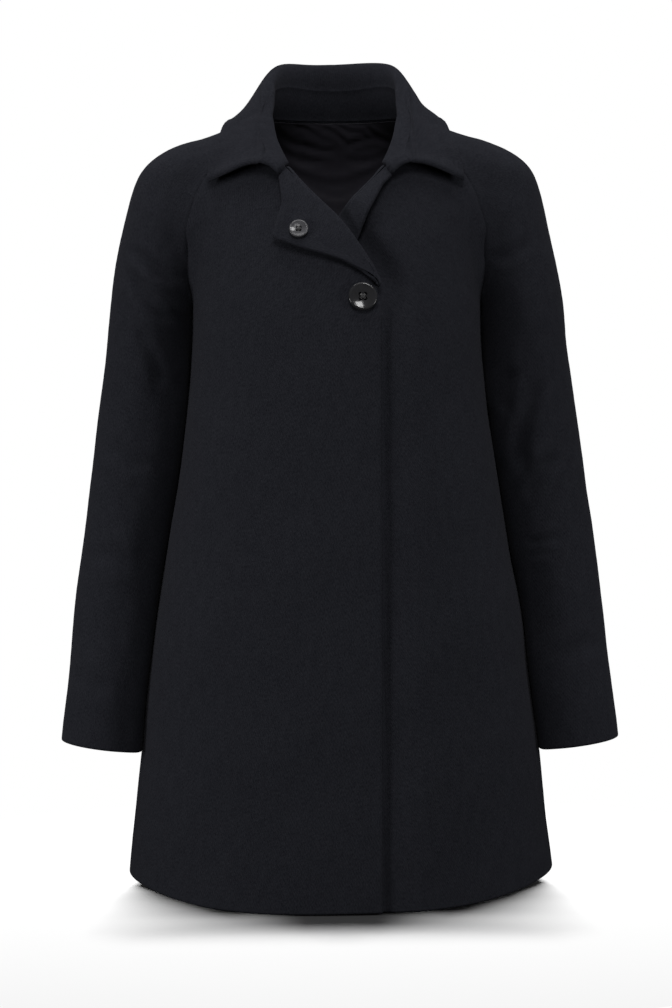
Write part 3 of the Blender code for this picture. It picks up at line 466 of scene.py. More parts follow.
# The seam between stand and leaf, where it comes over the roll to the leaf's front edge: rows as for creases,
# and how far back it shows
LEAF_SEAM_ROWS = (
    (-0.0725, 0.0400, -0.0750, -0.0480, 0.000, 0.0020, 0.0026),
    (0.0735, 0.0400, 0.0790, -0.0440, 0.000, 0.0020, 0.0026),
)
LEAF_SEAM_BACK = 0.030
LEAF_SEAM_RUN = 0.02

# How far the leaf's lower edge stands off the chest between its points and the neck, and over what stretch
LEAF_ARCH_LIFT = 0.0090
LEAF_ARCH_AT = 0.080
LEAF_ARCH_WIDTH = 0.026
LEAF_ARCH_RUN = 0.030
LEAF_ARCH_AHEAD = 0.01
LEAF_ARCH_FADE = 0.02

# Twill and nap: the slant of the ribs, how fine and how strong their unevenness is, and how the fibres lie
TWILL_SLANT = math.radians(-28)
TWILL_YARN = {"scale": 420.0, "detail": 2.0}
TWILL_WOBBLE = 0.9
NAP_LIE = (1.0, 0.45, 1.0)
NAP_FIBRES = {"detail": 3.0, "roughness": 0.65}
NAP_PATCHES = {"scale": 130.0, "detail": 4.0, "roughness": 0.6}

# Wool: how much its ribs, fibres and patches show between its dark and its light colour
WOOL_RIBS = 0.12
WOOL_FIBRES = 1.40
WOOL_PATCHES = 0.40
WOOL_MASK_START = 0.455
WOOL_RELIEF = {"strength": 0.45, "distance": 0.00045}
WOOL_FINISH = {"Roughness": 0.92, "Specular IOR Level": 0.0, "Sheen Roughness": 0.45}

# Satin: fibres in a metre, its darker threads, and its roughness with what the threads add
SATIN_FIBRES = 1500.0
SATIN_DARK = 0.75
SATIN_ROUGHNESS = 0.44
SATIN_THREADS = 0.16
SATIN_RELIEF = {"strength": 0.15, "distance": 0.0002}
SATIN_FINISH = {"Specular IOR Level": 0.14, "Sheen Weight": 0.04}

# Horn, a row for each kind: how much paler its clouds are than its ground, and its gloss
HORNS = {"horn": (2.0, 0.14), "grey horn": (6.0, 0.10)}
HORN_CLOUDS = {"scale": 95.0, "detail": 4.0, "roughness": 0.55, "distortion": 0.8}
HORN_GRAIN = {"scale": 900.0, "detail": 2.0}
HORN_POLISH = 0.08
HORN_SCUFFS = 0.08
THREAD_TWIST = {"scale": 2600.0, "detail": 1.0}
THREAD_DARK = 0.5
THREAD_FINISH = {"Roughness": 0.6}

# The picture's height and the camera's focal length and drop, all in pixels, and the sensor in millimetres
PICTURE_HEIGHT = 1008
FOCAL_PIXELS = 2500.0
DROP_PIXELS = 74
SENSOR_WIDTH = 36.0

# The lights: place, aim, width and height of each
COAT_AIM = (0.0, 0.0, -0.25)
LIGHTS = {
    "above": ((0.0, 0.25, 2.6), COAT_AIM, 2.6, 2.6),
    "ahead": ((0.0, -2.5, 1.7), COAT_AIM, 1.2, 1.2),
    "side_right": ((-2.0, -1.0, -0.3), COAT_AIM, 0.8, 0.8),
    "side_left": ((2.0, -1.0, -0.3), COAT_AIM, 0.8, 0.8),
    "glint": ((0.95, -1.89, 2.06), (0.03, -0.13, -0.19), 0.85, 0.85),
    "floor_light": ((0.0, 1.25, 3.2), (0.0, 0.0, -0.8), 0.9, 0.22),
}
SIDE_LEFT_SHARE = 0.68
FLOOR_SIDES = 128
FLOOR_SHADE = 0.93
FLOOR_FINISH = {"Roughness": 0.9, "Specular IOR Level": 0.0}


def smooth(rows, columns, name, at):
    """The value of a table's column at the given key values, on a monotone cubic through its rows."""
    table = np.array(sorted(rows), float)
    keys = table[:, 0]
    values = table[:, columns.index(name)]
    at = np.clip(np.asarray(at, float), keys[0], keys[-1])
    gaps = np.diff(keys)
    slopes = np.diff(values) / gaps
    tangents = np.empty(len(keys))
    tangents[0], tangents[-1] = slopes[0], slopes[-1]
    before, after = slopes[:-1], slopes[1:]
    same_way = before * after > 0
    mean = 2 * before * after / np.where(same_way, before + after, 1)
    tangents[1:-1] = np.where(same_way, mean, 0)
    i = np.clip(np.searchsorted(keys, at, side="right") - 1, 0, len(gaps) - 1)
    t = (at - keys[i]) / gaps[i]
    return (
        values[i] * (1 + 2 * t) * (1 - t) ** 2
        + tangents[i] * gaps[i] * t * (1 - t) ** 2
        + values[i + 1] * t * t * (3 - 2 * t)
        + tangents[i + 1] * gaps[i] * t * t * (t - 1)
    )


def spline(keys, values, at):
    """Values on the smoothest cubic through the given ones, which lie in rows, one row for each key."""
    gaps = np.diff(keys)
    count = len(keys)
    system = np.eye(count)
    for i in range(1, count - 1):
        system[i, i - 1 : i + 2] = gaps[i - 1], 2 * (gaps[i - 1] + gaps[i]), gaps[i]
    wide = (-1,) + (1,) * (values.ndim - 1)
    rise = np.diff(values, axis=0) / gaps.reshape(wide)
    pull = np.zeros(values.shape)
    pull[1:-1] = 6 * np.diff(rise, axis=0)
    bend = np.linalg.solve(system, pull.reshape(count, -1)).reshape(values.shape)
    at = np.asarray(at, float)
    i = np.clip(np.searchsorted(keys, at, side="right") - 1, 0, count - 2)
    left, right, gap = (a.reshape(wide) for a in (keys[i + 1] - at, at - keys[i], gaps[i]))
    return (
        (bend[i] * left**3 + bend[i + 1] * right**3) / (6 * gap)
        + (values[i] / gap - bend[i] * gap / 6) * left
        + (values[i + 1] / gap - bend[i + 1] * gap / 6) * right
    )


def ease(t):
    """0 to 1 with a soft start and end."""
    t = np.clip(t, 0, 1)
    return t * t * (3 - 2 * t)


def unit(v):
    return v / np.maximum(np.linalg.norm(v, axis=-1, keepdims=True), 1e-12)


def stages(count):
    return np.linspace(0, 1, count + 1)


def mirrored(points):
    return points * np.array([-1.0, 1.0, 1.0])


def body_ovals(p):
    """How far across and deep points lie in the body's ovals, as shares, and the ovals' sizes there."""
    x, y, z = np.moveaxis(p, -1, 0)
    width, front, back, square = (smooth(BODY_ROWS, BODY_COLUMNS, n, z) for n in BODY_COLUMNS[1:])
    depth = np.where(y < 0, front, back)
    return np.abs(x) / width, np.abs(y) / depth, width, depth, square


def body_share(p):
    """Under 0 inside the body's ovals and over 0 outside, as a share of their size."""
    across, deep, _, _, square = body_ovals(p)
    return (across**square + deep**square) ** (1 / square) - 1


def body_distance(p, step=2e-4):
    """How far points lie outside the body, in metres near its surface."""
    across, deep, width, depth, square = body_ovals(p)
    total = np.maximum(across**square + deep**square, 1e-9)
    share = total ** (1 / square)
    slope_x = share / total * across ** (square - 1) / width
    slope_y = share / total * deep ** (square - 1) / depth
    up = np.array([0.0, 0.0, step])
    slope_z = (body_share(p + up) - body_share(p - up)) / (2 * step)
    return (share - 1) / np.maximum(np.sqrt(slope_x**2 + slope_y**2 + slope_z**2), 1e-6)


def sleeve_share(p):
    """Under 0 inside the sleeves' ovals and their domes, on either side."""
    x, y, z = np.moveaxis(p, -1, 0)
    level = np.minimum(z, SHOULDER_HEIGHT)
    above = z - level
    centre, back, width, depth = (smooth(SLEEVE_ROWS, SLEEVE_COLUMNS, n, level) for n in SLEEVE_COLUMNS[1:])
    across = np.abs(x) - centre + SHOULDER_LEAN * above
    return np.sqrt((across / width) ** 2 + ((y - back) / depth) ** 2 + (above / SHOULDER_RISE) ** 2) - 1


def slope_of(function, p, step=2e-4):
    """The gradient of a function of points."""
    parts = []
    for axis in range(3):
        move = np.zeros(3)
        move[axis] = step
        parts.append((function(p + move) - function(p - move)) / (2 * step))
    return np.stack(parts, axis=-1)


def melt(a, b, radius):
    """The nearer of two distances, rounded where they meet."""
    radius = np.maximum(radius, 1e-6)
    near = np.maximum(radius - np.abs(a - b), 0) / radius
    return np.minimum(a, b) - near**2 * radius / 4


def arm_distance(p):
    return sleeve_share(p) * SLEEVE_SIZE


def coat_distance(p):
    """Body and sleeves as one form, melting together above the underarm."""
    rise = ease((p[..., 2] - UNDERARM_HEIGHT) / MELT_FADE)
    return melt(body_distance(p), arm_distance(p), SHOULDER_MELT * rise)


def sleeve_distance(p):
    """The sleeve below the underarm, pressed clear of the body."""
    drop = ease((UNDERARM_HEIGHT + PRESS_START - p[..., 2]) / PRESS_RUN)
    clear = SLEEVE_CLEARANCE * drop - body_distance(p)
    return -melt(-arm_distance(p), -clear, SLEEVE_CORNER * drop)


def cast(origins, directions, distance, inside, outside):
    """Where rays from inside a form leave it, between an inner and an outer reach."""
    directions = unit(directions)
    inside = np.broadcast_to(inside, origins.shape[:-1])
    outside = np.broadcast_to(outside, origins.shape[:-1])
    for _ in range(SEARCH_STEPS):
        middle = (inside + outside) / 2
        out = distance(origins + directions * middle[..., None]) > 0
        outside = np.where(out, middle, outside)
        inside = np.where(out, inside, middle)
    return origins + directions * inside[..., None]


def flutes(turn, height):
    """How far the hem's flutes push the skirt out."""
    push = np.zeros(np.shape(turn))
    for middle, spread, depth, top in FLUTE_ROWS:
        down = np.clip((top - height) / (top - HEM_HEIGHT), 0, 1)
        push = push + depth * down**FLUTE_GROWTH * np.exp(-(((turn - middle) / spread) ** 2))
    return push


def body_rays(turn, height):
    """Level rays from the middle line, and how far each runs inside the body's ovals."""
    angle = np.radians(turn)
    rays = np.stack([np.cos(angle), np.sin(angle), np.zeros(angle.shape)], axis=-1)
    origins = np.stack([np.zeros(angle.shape), np.zeros(angle.shape), height], axis=-1)
    near = 1e-3
    return origins, rays, near / (body_share(origins + rays * near) + 1)


def cloth_normals(points, own):
    """Normals of the melted form, turning to those of the body or sleeve itself at the underarm."""
    rise = ease((points[..., 2:] - UNDERARM_HEIGHT) / NORMAL_RUN)
    return unit(unit(slope_of(own, points)) * (1 - rise) + unit(slope_of(coat_distance, points)) * rise)


def on_body(turn, height):
    """Points of the body for directions in degrees (0 at the side, -90 at the front), and normals."""
    turn, height = np.broadcast_arrays(np.asarray(turn, float), np.asarray(height, float))
    origins, rays, radius = body_rays(turn, height)
    reach = ARM_REACH * ease((height - UNDERARM_HEIGHT) / REACH_RUN)
    reach = reach + SHOULDER_REACH * ease((height - SHOULDER_REACH_START) / REACH_RUN)
    points = cast(origins, rays, coat_distance, radius, radius + reach)
    normals = cloth_normals(points, body_distance)
    return points + normals * flutes(turn, height)[..., None], normals


def at_front(across, height):
    """Points of the coat's front for places seen from the front, and normals."""
    across, height = np.broadcast_arrays(np.asarray(across, float), np.asarray(height, float))
    origins = np.stack([across, np.zeros(across.shape), height], axis=-1)
    forward = np.broadcast_to([0.0, -1.0, 0.0], origins.shape)
    points = cast(origins, forward, coat_distance, 0.0, FRONT_REACH)
    return points, cloth_normals(points, body_distance)


def turn_at_front(across, height):
    """The direction round the body, in degrees, of a place seen from the front."""
    point = at_front(across, height)[0]
    return np.degrees(np.arctan2(point[..., 1], point[..., 0]))


def neck_height(turn):
    return smooth(NECK_ROWS, NECK_COLUMNS, "height", turn)


def hem_height(turn, side):
    """The hem's level, for turns counted from the wearer's left (side 1) or right (side -1)."""
    turn = np.radians(turn)
    return HEM_HEIGHT - HEM_DIP * ease(-np.sin(turn)) + HEM_LEFT_RISE * (1 + side * np.cos(turn)) / 2


def fold_turn(height, way):
    """The direction in which body and sleeve meet in front of the arm (-1) or behind it (1), in degrees."""
    height = np.minimum(np.asarray(height, float), FOLD_TOP)
    near, far = np.zeros(height.shape), np.full(height.shape, FOLD_SEARCH_TURN * way)
    for _ in range(SEARCH_STEPS):
        turn = (near + far) / 2
        origins, rays, radius = body_rays(turn, height)
        on_sleeve = sleeve_share(origins + rays * radius[..., None]) < 0
        near = np.where(on_sleeve, turn, near)
        far = np.where(on_sleeve, far, turn)
    return far


def raglan(front, stage):
    """Turn and height along a raglan seam, for stages from 0 at the neck to 1 at the underarm."""
    rows = RAGLAN_FRONT_ROWS if front else RAGLAN_BACK_ROWS
    way = -1 if front else 1
    top, bottom = rows[0][0], rows[-1][0]
    heights = top + (bottom - top) * stage**RAGLAN_PACE
    turns = fold_turn(heights, way) + way * smooth(rows, RAGLAN_COLUMNS, "ahead", heights)
    turns[-1] = 0.0
    neck = NECK_FRONT_TURN if front else NECK_BACK_TURN
    near_neck = np.maximum(1 - stage / NECK_EASE_SHARE, 0)
    return turns + (neck - turns[0]) * near_neck**2, heights


def roll_line(steps, shift=0.0):
    """The roll line seen from the front, moved in from its nose by a shift: across and height."""
    heights = np.linspace(ROLL_ROWS[0][0], ROLL_ROWS[-1][0], steps)
    across = smooth(ROLL_ROWS, ROLL_COLUMNS, "across", heights)
    along = unit(np.stack([np.gradient(across), np.gradient(heights)], axis=-1))
    return across + along[:, 1] * shift, heights - along[:, 0] * shift


def tuck_depth(points):
    """How far the under front lies inside the form, deepest behind the turned-back neck."""
    x, _, z = np.moveaxis(points, -1, 0)
    neck = ease((z - NECK_TUCK_HEIGHT) / NECK_TUCK_RUN)
    depth = UNDER_TUCK + (NECK_TUCK - UNDER_TUCK) * neck
    roll = smooth(ROLL_ROWS, ROLL_COLUMNS, "across", z)
    covered = np.where(z > ROLL_ROWS[-1][0], roll, EDGE_REACH_TOP)
    return depth * ease(1 - (x - covered - TUCK_MARGIN) / TUCK_RUN)


def edge_groove(points):
    """How far the under front dips beside the upper front's edge."""
    x, _, z = np.moveaxis(points, -1, 0)
    down = np.clip((z - UNDERARM_HEIGHT) / (HEM_HEIGHT - UNDERARM_HEIGHT), 0, 1)
    edge = EDGE_REACH_TOP + (EDGE_REACH_HEM - EDGE_REACH_TOP) * down + GROOVE_AHEAD
    beside = np.exp(-(((x - edge) / GROOVE_WIDTH) ** 2))
    return GROOVE_DEPTH * ease((ROLL_ROWS[-1][0] - z) / GROOVE_RUN) * beside


def front_guide(tuck, side):
    """Guide points of one front in its own side's terms: +X is what it covers."""
    seam_turn, seam_height = raglan(True, stages(YOKE_STEPS))
    neck_turn = np.interp(stages(NECK_EDGE_STEPS)[:-1], stages(len(NECK_TURNS) - 1), NECK_TURNS)
    roll_across, roll_height = roll_line(YOKE_STEPS - 1 - len(neck_turn), ROLL_RADIUS + ROLL_SEAM_GAP)
    edge_height = np.concatenate([neck_height(neck_turn), roll_height, seam_height[-2:]])
    roll_turn = turn_at_front(-roll_across, roll_height)
    low_turn = turn_at_front(-np.full(2, EDGE_REACH_TOP), seam_height[-2:])
    edge_turn = np.concatenate([neck_turn, roll_turn, low_turn])
    share = stages(FRONT_STEPS)
    turn = seam_turn[:, None] + (edge_turn - seam_turn)[:, None] * share
    height = seam_height[:, None] + (edge_height - seam_height)[:, None] * share
    down = stages(SKIRT_STEPS)[1:, None]
    reach = EDGE_REACH_TOP + (EDGE_REACH_HEM - EDGE_REACH_TOP) * down[:, 0]
    skirt_drop = (HEM_HEIGHT - HEM_DIP - UNDERARM_HEIGHT) * down[:, 0]
    skirt_turn = turn_at_front(-reach, UNDERARM_HEIGHT + skirt_drop)[:, None] * share
    skirt_height = UNDERARM_HEIGHT + (hem_height(skirt_turn, side) - UNDERARM_HEIGHT) * down
    points, normals = on_body(np.concatenate([turn, skirt_turn]), np.concatenate([height, skirt_height]))
    if tuck:
        points = points - normals * tuck_depth(points)[..., None]
    return points, normals


def whole_turn(turn, points, normals):
    """Points found for one side, put on their own side of the middle."""
    side = np.where(turn > 90, -1.0, 1.0)
    mirror = np.stack([side, np.ones(turn.shape), np.ones(turn.shape)], axis=-1)
    return points * mirror, normals * mirror


def back_guide():
    """Guide points of the back, from the wearer's left raglan and side seam to the right one."""
    seam_turn, seam_height = raglan(False, stages(YOKE_STEPS))
    share = stages(BACK_STEPS)
    turn = seam_turn[:, None] + (180 - 2 * seam_turn)[:, None] * share
    height = np.repeat(seam_height[:, None], BACK_STEPS + 1, axis=1)
    height[0] = neck_height(np.minimum(turn[0], 180 - turn[0]))
    down = stages(SKIRT_STEPS)[1:, None]
    skirt_turn = np.repeat((180 * share)[None], SKIRT_STEPS, axis=0)
    skirt_height = UNDERARM_HEIGHT + (hem_height(skirt_turn, 1) - UNDERARM_HEIGHT) * down
    turn = np.concatenate([turn, skirt_turn])
    own_turn = np.where(turn > 90, 180 - turn, turn)
    return whole_turn(turn, *on_body(own_turn, np.concatenate([height, skirt_height])))


def sleeve_guide(front):
    """Guide points of half a sleeve, from its overarm seam to its raglan and underarm seam."""
    seam_turn, seam_height = raglan(front, stages(YOKE_STEPS))
    seam = on_body(seam_turn, seam_height)[0]
    way = -1.0 if front else 1.0
    share = stages(SLEEVE_STEPS)
    neck_turn = OVERARM_NECK_TURN + (seam_turn[0] - OVERARM_NECK_TURN) * share
    rows = [on_body(neck_turn, neck_height(neck_turn))]
    names = SHOULDER_COLUMNS[1:]
    for stage, target in list(zip(stages(YOKE_STEPS), seam))[1:]:
        across, back, height, lean = (smooth(SHOULDER_ROWS, SHOULDER_COLUMNS, n, stage) for n in names)
        centre = np.array([across, back, height])
        rows.append(sleeve_row(centre, math.radians(float(lean)), way, share, target, float(stage)))
    for stage in stages(ARM_STEPS)[1:]:
        height = UNDERARM_HEIGHT + (CUFF_HEIGHT - UNDERARM_HEIGHT) * stage
        across, back = (smooth(SLEEVE_ROWS, SLEEVE_COLUMNS, n, height) for n in ("centre", "set_back"))
        centre = np.array([across, back, height])
        rows.append(sleeve_row(centre, CUFF_SLOPE, way, share, None, 1.0))
    points, normals = zip(*rows)
    return np.array(points), np.array(normals)


def sleeve_row(centre, lean, way, share, target, stage):
    """One row round the sleeve's middle, from the overarm seam to the seam point, or half way round."""
    out = np.array([math.cos(lean), 0.0, math.sin(lean)])
    side = np.array([0.0, way, 0.0])
    along = np.cross(out, side)
    start = -way * OVERARM_FORWARD
    if target is None:
        end, drift = math.pi, 0.0
    else:
        aim = target - centre
        end = math.atan2(aim @ side, aim @ out)
        end += 2 * math.pi * (end < LEAST_SEAM_ANGLE)
        drift = (aim @ along) / math.hypot(aim @ out, aim @ side)
    turn = start + (end - start) * share
    directions = (
        np.cos(turn)[:, None] * out + np.sin(turn)[:, None] * side + (drift * share**2)[:, None] * along
    )
    spread = SEAM_SPREAD + YOKE_SPREAD * (1 - stage) ** YOKE_SPREAD_PACE

    def yoke_distance(p):
        return np.maximum(coat_distance(p), arm_distance(p) - spread)

    form = yoke_distance if stage < 1 else sleeve_distance
    row = cast(np.broadcast_to(centre, directions.shape), directions, form, 0.0, SLEEVE_REACH)
    if target is not None:
        row[-1] = target
    return row, cloth_normals(row, sleeve_distance)


def soft_corners(values):
    """Values along an edge with its sharp turns rounded."""
    for _ in range(LAPEL_CORNER_STEPS):
        values = np.concatenate([values[:1], (values[:-2] + 2 * values[1:-1] + values[2:]) / 4, values[-1:]])
    return values


def lapel_middle(rows, end, tuck):
    """The middle of a turned-back corner's wall, in its own side's terms: round the roll, then flat."""
    stage = stages(LAPEL_STEPS)
    fine_across, fine_height = roll_line(ROLL_MEASURE_STEPS)
    length = np.concatenate([[0], np.cumsum(np.hypot(np.diff(fine_across), np.diff(fine_height)))])
    at = LAPEL_START + (end * length[-1] - LAPEL_START) * stage
    across, height = np.interp(at, length, fine_across), np.interp(at, length, fine_height)
    base, normals = at_front(-across, height)
    columns = np.array(rows).T
    edge_across, edge_height, lift = (
        soft_corners(np.interp(stage, columns[0], column)) for column in columns[1:]
    )
    if tuck:
        base = base - normals * tuck_depth(base)[:, None]
    along = unit(np.gradient(base, axis=0))
    nose = unit(np.cross(normals, along))
    nose = nose * np.sign(nose[:, 2:])
    closing = ease((stage * end - ROLL_CLOSING_START) / (1 - ROLL_CLOSING_START))
    radius = ROLL_RADIUS * (1 - ROLL_CLOSING * closing)[:, None]
    centre = base - nose * ROLL_RADIUS + normals * (radius - WALL / 2)
    first = SEAM_GAP / ROLL_RADIUS - math.pi / 2
    grid = [
        centre + radius * (math.cos(angle) * nose + math.sin(angle) * normals)
        for angle in np.linspace(first, math.pi / 2, LAPEL_FOLD_STEPS + 1)
    ]
    start = grid[-1]
    level = 2 * radius - WALL / 2
    for share in stages(LAPEL_FLAT_STEPS)[1:]:
        flat_across = start[:, 0] + (-edge_across - start[:, 0]) * share
        flat_height = start[:, 2] + (edge_height - start[:, 2]) * share
        under, under_normals = at_front(flat_across, flat_height)
        if tuck:
            under = under - under_normals * tuck_depth(under)[:, None]
        grid.append(under + under_normals * (level + (lift[:, None] - level) * share))
    return np.array(grid)


def curve(controls, steps):
    """Points of a cubic curve with four controls, a line of controls for each section."""
    t = stages(steps)[:, None, None]
    a, b, c, d = controls
    return a * (1 - t) ** 3 + 3 * b * t * (1 - t) ** 2 + 3 * c * t**2 * (1 - t) + d * t**3


def collar_sections():
    """Fine section lines of one side of the collar, from the neck seam over the ridge to its edge."""
    stage = stages(COLLAR_STEPS // 2)
    table = np.array(COLLAR_ROWS)
    value = {}
    for name in COLLAR_COLUMNS[1:]:
        if name in ("turn", "drop", "lift"):
            value[name] = smooth(COLLAR_ROWS, COLLAR_COLUMNS, name, stage)[:, None]
        else:
            value[name] = spline(table[:, 0], table[:, COLLAR_COLUMNS.index(name)], stage)[:, None]
    ridge = np.concatenate([value["ridge_x"], value["ridge_y"], value["ridge_z"]], axis=1)
    edge = np.concatenate([value["edge_x"], value["edge_y"], value["edge_z"]], axis=1)
    turn = value["turn"][:, 0]
    neck, normals = on_body(turn, neck_height(turn) + value["drop"][:, 0])
    rise = unit(np.cross(normals, unit(np.gradient(neck, axis=0))))
    rise = rise * np.sign(rise[:, 2:])
    neck = neck + normals * (value["lift"] - WALL / 2) + rise * NECK_SEAM_GAP
    short = np.maximum(LEAF_LIFT - coat_distance(edge), 0)[:, None]
    edge = edge + unit(slope_of(coat_distance, edge)) * short
    over = (edge - ridge) * np.array([1.0, 1.0, 0.0])
    over = unit(unit(over) + np.array([0.0, 0.0, 1.0]) * value["tilt"])
    reach = np.linalg.norm(ridge - neck, axis=1, keepdims=True)
    pulled = ridge - over * np.minimum(value["pull"], reach * STAND_PULL_SHARE)
    inner = curve((neck, neck + rise * reach * STAND_PULL_SHARE, pulled, ridge), RIDGE_STEP)
    hang = edge + (ridge - edge) * LEAF_BOW_SHARE
    hang = hang + unit(slope_of(coat_distance, hang)) * value["bow"]
    outer = curve((ridge, ridge + over * value["pull"], hang, edge), EDGE_STEP)
    clear = LEAF_LIFT * ease(stages(EDGE_STEP)[:, None] / LEAF_CLEAR_SHARE)
    short = -melt(coat_distance(outer) - clear, np.zeros(clear.shape), LEAF_LIFT)
    outer = outer + unit(slope_of(coat_distance, outer)) * np.maximum(short, 0)[..., None]
    return np.concatenate([inner, outer[1:]]), value["seam"][:, 0]


def collar_middle(leaf, step):
    """The middle of the stand's or the leaf's wall from end to end round the neck, and normals."""
    lines, past = collar_sections()
    steps = np.linalg.norm(np.diff(lines, axis=0), axis=2)
    length = np.concatenate([np.zeros((1, steps.shape[1])), np.cumsum(steps, axis=0)])
    ways = np.gradient(lines, axis=0)
    seam = length[RIDGE_STEP] + past
    low, high = (seam, length[-1]) if leaf else (np.zeros(len(seam)), seam)
    share = spaced(float(np.mean(high - low)), step)
    grid = np.empty((len(share), len(seam), 3))
    down = np.empty(grid.shape)
    for i in range(len(seam)):
        at = low[i] + (high[i] - low[i]) * share
        for axis in range(3):
            grid[:, i, axis] = np.interp(at, length[:, i], lines[:, i, axis])
            down[:, i, axis] = np.interp(at, length[:, i], ways[:, i, axis])
    grid = np.concatenate([mirrored(grid)[:, :0:-1], grid], axis=1)
    down = np.concatenate([mirrored(down)[:, :0:-1], down], axis=1)
    return grid, unit(np.cross(down, np.gradient(grid, axis=1)))


def lining_guide():
    """Guide points of the lining inside the back, drawn in from the side seams and the hem."""
    share = stages(LINING_STEPS)
    bottom = HEM_HEIGHT + LINING_HEM
    down = stages(LINING_ROWS)[:, None] ** LINING_PACE
    level = neck_height(90.0) + (bottom - neck_height(90.0)) * down
    first = smooth(LINING_SIDES, LINING_COLUMNS, "turn", level)
    turn = first + (180 - 2 * first) * share
    own_turn = np.where(turn > 90, 180 - turn, turn)
    top = neck_height(own_turn) - LINING_NECK
    height = top + (bottom - top) * down
    return whole_turn(turn, *on_body(own_turn, height))


def grid_normals(grid):
    """Normals of a grid of points, from its rows and columns."""
    return unit(np.cross(np.gradient(grid, axis=0), np.gradient(grid, axis=1)))


def lapel_seat(across, height):
    """The place on the right lapel's face at a spot seen from the front, and its normal."""
    grid = mirrored(lapel_middle(LAPEL_RIGHT_ROWS, 1.0, False))
    normals = grid_normals(grid)
    normals = normals * -np.sign(normals[..., 1:2])
    flat, flat_normals = grid[LAPEL_FOLD_STEPS:].reshape(-1, 3), normals[LAPEL_FOLD_STEPS:].reshape(-1, 3)
    reach = np.hypot(flat[:, 0] - across, flat[:, 2] - height)
    near = np.argsort(reach)[:SEAT_POINTS]
    weight = 1 / (reach[near] + 1e-6)
    normal = unit((flat_normals[near] * weight[:, None]).sum(0))
    middle = (flat[near] * weight[:, None]).sum(0) / weight.sum()
    seat = np.array([across, 0.0, height])
    seat[1] = middle[1] - ((across - middle[0]) * normal[0] + (height - middle[2]) * normal[2]) / normal[1]
    return seat + normal * WALL / 2, normal


def spaced(length, step):
    """Shares from 0 to 1 of a length, close together at both ends and about a step apart between them."""
    ends = np.array(EDGE_LINES) / length
    count = max(int((1 - 2 * ends[-1]) * length / step), 2)
    middle = np.linspace(ends[-1], 1 - ends[-1], count + 1)
    return np.concatenate([ends[:-1], middle, 1 - ends[-2::-1]])


def mean_keys(grid, axis):
    """How far the rows or columns of a grid lie from its first one, on average."""
    steps = np.linalg.norm(np.diff(grid, axis=axis), axis=-1).mean(axis=1 - axis)
    return np.concatenate([[0.0], np.cumsum(steps)])


def drawn_out(points, normals, step):
    """A guide grid and its normals, drawn out to a fine grid on smooth curves."""
    for axis in (0, 1):
        keys = mean_keys(points, axis)
        at = spaced(keys[-1], step) * keys[-1]
        points, normals = (
            np.moveaxis(spline(keys, np.moveaxis(a, axis, 0), at), 0, axis) for a in (points, normals)
        )
    return points, unit(normals)


def edge_distances(grid):
    """How far each point of a grid lies from its four edges, along the cloth."""
    down = np.linalg.norm(np.diff(grid, axis=0), axis=-1)
    across = np.linalg.norm(np.diff(grid, axis=1), axis=-1)
    from_top = np.concatenate([np.zeros((1, grid.shape[1])), np.cumsum(down, axis=0)])
    from_first = np.concatenate([np.zeros((grid.shape[0], 1)), np.cumsum(across, axis=1)], axis=1)
    return {
        "top": from_top,
        "bottom": from_top[-1:] - from_top,
        "first": from_first,
        "last": from_first[:, -1:] - from_first,
    }


def waves(points):
    """Broad uneven waves of the cloth."""
    push = np.zeros(points.shape[:-1])
    for x, y, z, length, height, start in WAVE_ROWS:
        way = unit(np.array([x, y, z]))
        push = push + height * np.sin(points @ way * (2 * math.pi / length) + start)
    return push


def creases(points, rows):
    """Creases from the given rows: soft troughs with a ridge along each side, fading out at their ends."""
    push = np.zeros(points.shape[:-1])
    flat = points[..., [0, 2]]
    for across_0, height_0, across_1, height_1, bow, width, depth in rows:
        start, end = np.array([across_0, height_0]), np.array([across_1, height_1])
        length = np.linalg.norm(end - start)
        way = (end - start) / length
        share = (flat - start) @ way / length
        off = (flat - start) @ np.array([-way[1], way[0]]) + bow * (1 - (2 * share - 1) ** 2)
        past = CREASE_FADE / 2
        fade = ease((share + past) / CREASE_FADE) * ease((1 + past - share) / CREASE_FADE)
        ridge = sum(np.exp(-((off / width - s * CREASE_RIDGE_AT) ** 2)) for s in (-1, 1))
        push = push - depth * fade * (np.exp(-((off / width) ** 2)) - CREASE_RIDGE * ridge)
    return push


def seam_relief(distance, along, sizes):
    """A seam pressed open: cloth dips into it unevenly, with a faint swell over the turnings."""
    pucker = np.mean([np.sin(along * (2 * math.pi / length)) for length in PUCKER_LENGTHS], axis=0)
    widths = distance / sizes.seam_width
    dip = sizes.seam_depth * (1 + DIP_PUCKER * pucker) * np.exp(-(widths**2))
    swell = np.exp(-(((widths - SWELL_AT) / SWELL_SPREAD) ** 2))
    return sizes.seam_swell * (1 + SWELL_PUCKER * pucker) * swell - dip


def round_off(distance, radius):
    """How far each face of a turned edge rounds in towards the middle of its wall."""
    inside = np.clip(1 - distance / radius, 0, 1)
    return radius * (1 - np.sqrt(1 - EDGE_ROUNDNESS * inside**2))


